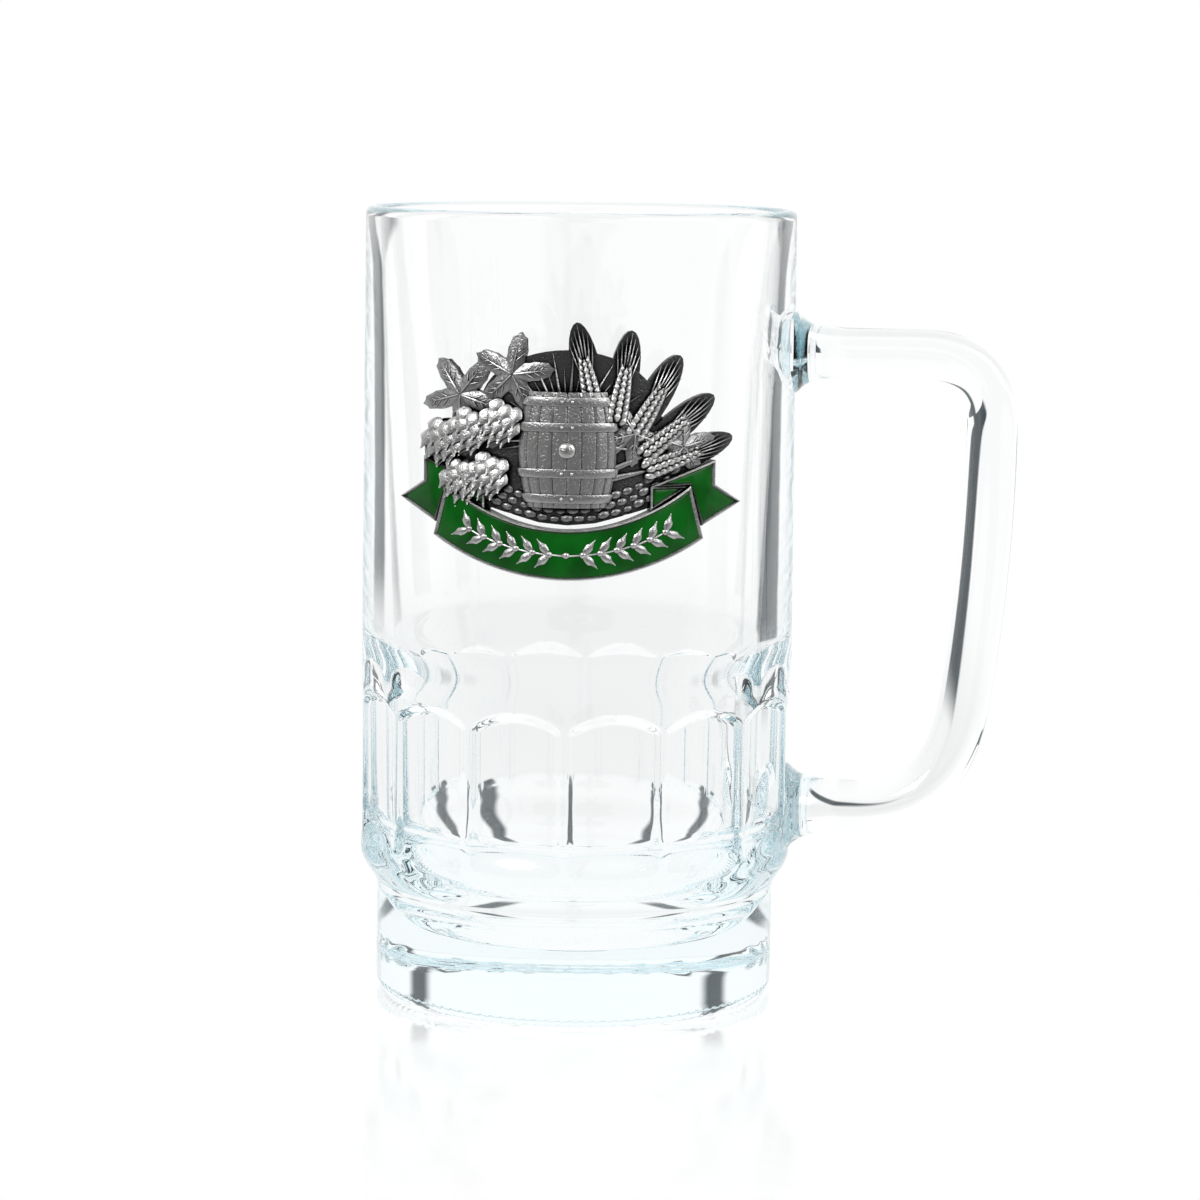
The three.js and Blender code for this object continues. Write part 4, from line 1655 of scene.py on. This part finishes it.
    def front(self, nodes: Shader, place: bpy.types.NodeSocket) -> bpy.types.NodeSocket:
        """How bright a direction or a place on the floor is to mirrors and glass: less low down in front.

        Args:
            nodes: the tree to build in.
            place: the direction, or a place on the floor.

        Returns:
            1 for the full light and less where it is dimmed.
        """
        axes = nodes.node("SeparateXYZ")
        nodes.join(place, axes.inputs[0])
        ahead = nodes.ramp(nodes.math("MULTIPLY", axes.outputs["Y"], -1.0), *self.front_edge)
        low = nodes.ramp(axes.outputs["Z"], *reversed(self.front_top))
        path = nodes.node("LightPath")
        mirrored = nodes.math("SUBTRACT", path.outputs["Is Glossy Ray"], path.outputs["Is Transmission Ray"])
        share = nodes.math("MULTIPLY", nodes.math("MAXIMUM", mirrored, 0.0), self.front_dim)
        share = nodes.math("MULTIPLY_ADD", path.outputs["Is Transmission Ray"], self.front_through, share)
        dim = nodes.math("MULTIPLY", nodes.math("MULTIPLY", ahead, low), share)
        return nodes.math("SUBTRACT", 1.0, dim)

    def world(self) -> None:
        """White to the camera. Mirrors see a dimmer front, and the glass also shows the painted dark bands.
        """
        world = bpy.data.worlds.new("studio")
        bpy.context.scene.world = world
        world.use_nodes = True
        nodes = Shader(world.node_tree)
        place = nodes.node("TexCoord")
        shade = self.surround(nodes, place.outputs["Generated"])
        level = nodes.math("MULTIPLY", self.front(nodes, place.outputs["Generated"]), self.far_light)
        # The backdrop's level, with the painted dark bands for rays through glass.
        windows = nodes.colour(shade, (*self.painted_band_colour, 1), level)
        path = nodes.node("LightPath")
        light = nodes.node("Background")
        colour = nodes.colour(path.outputs["Is Camera Ray"], windows, (1, 1, 1, 1))
        nodes.join(colour, light.inputs["Color"])
        out = nodes.node("OutputWorld")
        nodes.join(light.outputs[0], out.inputs["Surface"])

    def floor(self) -> None:
        """A white sheet that fades into the backdrop and mirrors the mug faintly. Round the mug its glow is
        painted: a grey shade for the camera, and rings of light and dark bands for mirrors and glass.
        """
        deselect_all()
        bpy.ops.mesh.primitive_plane_add(size=self.floor_size, location=(0, 0, -self.floor_drop))
        sheet = bpy.context.object
        sheet.name = "white_sheet"
        material, nodes = new_material("white_sheet")
        place = nodes.node("TexCoord")
        reach = nodes.node("VectorMath", operation="LENGTH")
        nodes.join(place.outputs["Object"], reach.inputs[0])
        reach = reach.outputs["Value"]
        shade = self.surround(nodes, place.outputs["Object"], reach)
        # Painted light levels on the sheet for mirrors and glass: brighter at the foot, greyer in a ring
        # round it, and the backdrop's level beyond.
        pool = nodes.colour(
            nodes.ramp(reach, *self.pool_edge),
            grey(self.pool_light),
            grey(self.near_light),
        )
        bright = nodes.colour(nodes.ramp(reach, *self.far_edge), pool, grey(self.far_light))
        dimmed = nodes.colour(self.front(nodes, place.outputs["Object"]), (0, 0, 0, 1), bright)
        # The painted dark bands on the sheet, which only rays through glass see.
        through = nodes.colour(shade, (*self.painted_band_colour, 1), dimmed)
        # Next to the mug the camera sees the glow drop to a grey, a painted shade round the foot; the
        # diffuse and glossy parts add the real shadow and the mug's mirror image.
        close = nodes.math("SUBTRACT", 1.0, nodes.ramp(reach, *self.sheet_edge))
        plain = nodes.colour(close, (1, 1, 1, 1), grey(self.sheet_glow))
        path = nodes.node("LightPath")
        seen = path.outputs["Is Camera Ray"]
        given = nodes.colour(path.outputs["Is Diffuse Ray"], through, (1, 1, 1, 1))
        glow = nodes.node("Emission")
        nodes.join(nodes.colour(seen, given, plain), glow.inputs["Color"])
        close = nodes.math("MULTIPLY", close, seen)
        paper = nodes.node("BsdfDiffuse")
        nodes.join(nodes.math("MULTIPLY", close, self.sheet_diffuse), paper.inputs["Color"])
        sheen = nodes.node("BsdfGlossy")
        sheen.inputs["Roughness"].default_value = self.sheet_roughness
        nodes.join(nodes.math("MULTIPLY", close, self.sheet_gloss), sheen.inputs["Color"])
        first = nodes.node("AddShader")
        nodes.join(glow.outputs[0], first.inputs[0])
        nodes.join(paper.outputs[0], first.inputs[1])
        both = nodes.node("AddShader")
        nodes.join(first.outputs[0], both.inputs[0])
        nodes.join(sheen.outputs[0], both.inputs[1])
        nodes.finish(both.outputs[0])
        sheet.data.materials.append(material)

    def lamp(self, name: str, place: Sequence[float], size: float, power: float) -> None:
        """Adds one soft box that faces the mug.

        Args:
            name: the lamp's name.
            place: where it hangs.
            size: the side of its square face.
            power: its power in watts.
        """
        deselect_all()
        bpy.ops.object.light_add(type="AREA", location=place)
        lamp = bpy.context.object
        lamp.name = name
        lamp.data.size = size
        lamp.data.energy = power
        lamp.rotation_mode = "QUATERNION"
        aim = Vector((0, 0, self.aim_height))
        lamp.rotation_quaternion = (aim - Vector(place)).to_track_quat("-Z", "Y")
        lamp.visible_transmission = False

    def camera(self) -> None:
        """Sets the camera where the photograph was taken from."""
        turn = math.radians(self.camera_azimuth)
        right = Vector((math.cos(turn), math.sin(turn), 0))
        eye = Vector((math.sin(turn), -math.cos(turn), 0)) * self.camera_distance + right * self.aim_right
        eye.z = self.camera_height
        aim = right * self.aim_right
        aim.z = self.aim_height
        deselect_all()
        bpy.ops.object.camera_add(location=eye)
        camera = bpy.context.object
        camera.data.sensor_width = self.sensor_width
        camera.data.lens = self.sensor_width * self.focal_pixels / PHOTO_SIDE
        camera.data.clip_start = self.clip_start
        camera.rotation_mode = "QUATERNION"
        facing = (aim - eye).to_track_quat("-Z", "Y")
        camera.rotation_quaternion = facing @ Quaternion((0, 0, 1), math.radians(self.roll))
        bpy.context.scene.camera = camera

    def build(self) -> None:
        """Sets up the floor, the surroundings, the lamps and the camera."""
        self.floor()
        self.world()
        self.lamp("key", self.key_place, self.lamp_size, self.key_power)
        self.lamp("fill", self.fill_place, self.lamp_size, self.fill_power)
        self.camera()
        scene = bpy.context.scene
        scene.view_settings.view_transform = "Standard"
        scene.cycles.max_bounces = 2 * self.bounces
        scene.cycles.transmission_bounces = self.bounces
        scene.cycles.glossy_bounces = self.bounces


def main() -> None:
    """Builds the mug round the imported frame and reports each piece."""
    logging.basicConfig(level=logging.INFO, format="%(message)s")
    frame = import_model()
    Vessel().build()
    Badge().build(frame["nodes"]["badge_adhesive"])
    Studio().build()


if __name__ == "__main__":
    main()
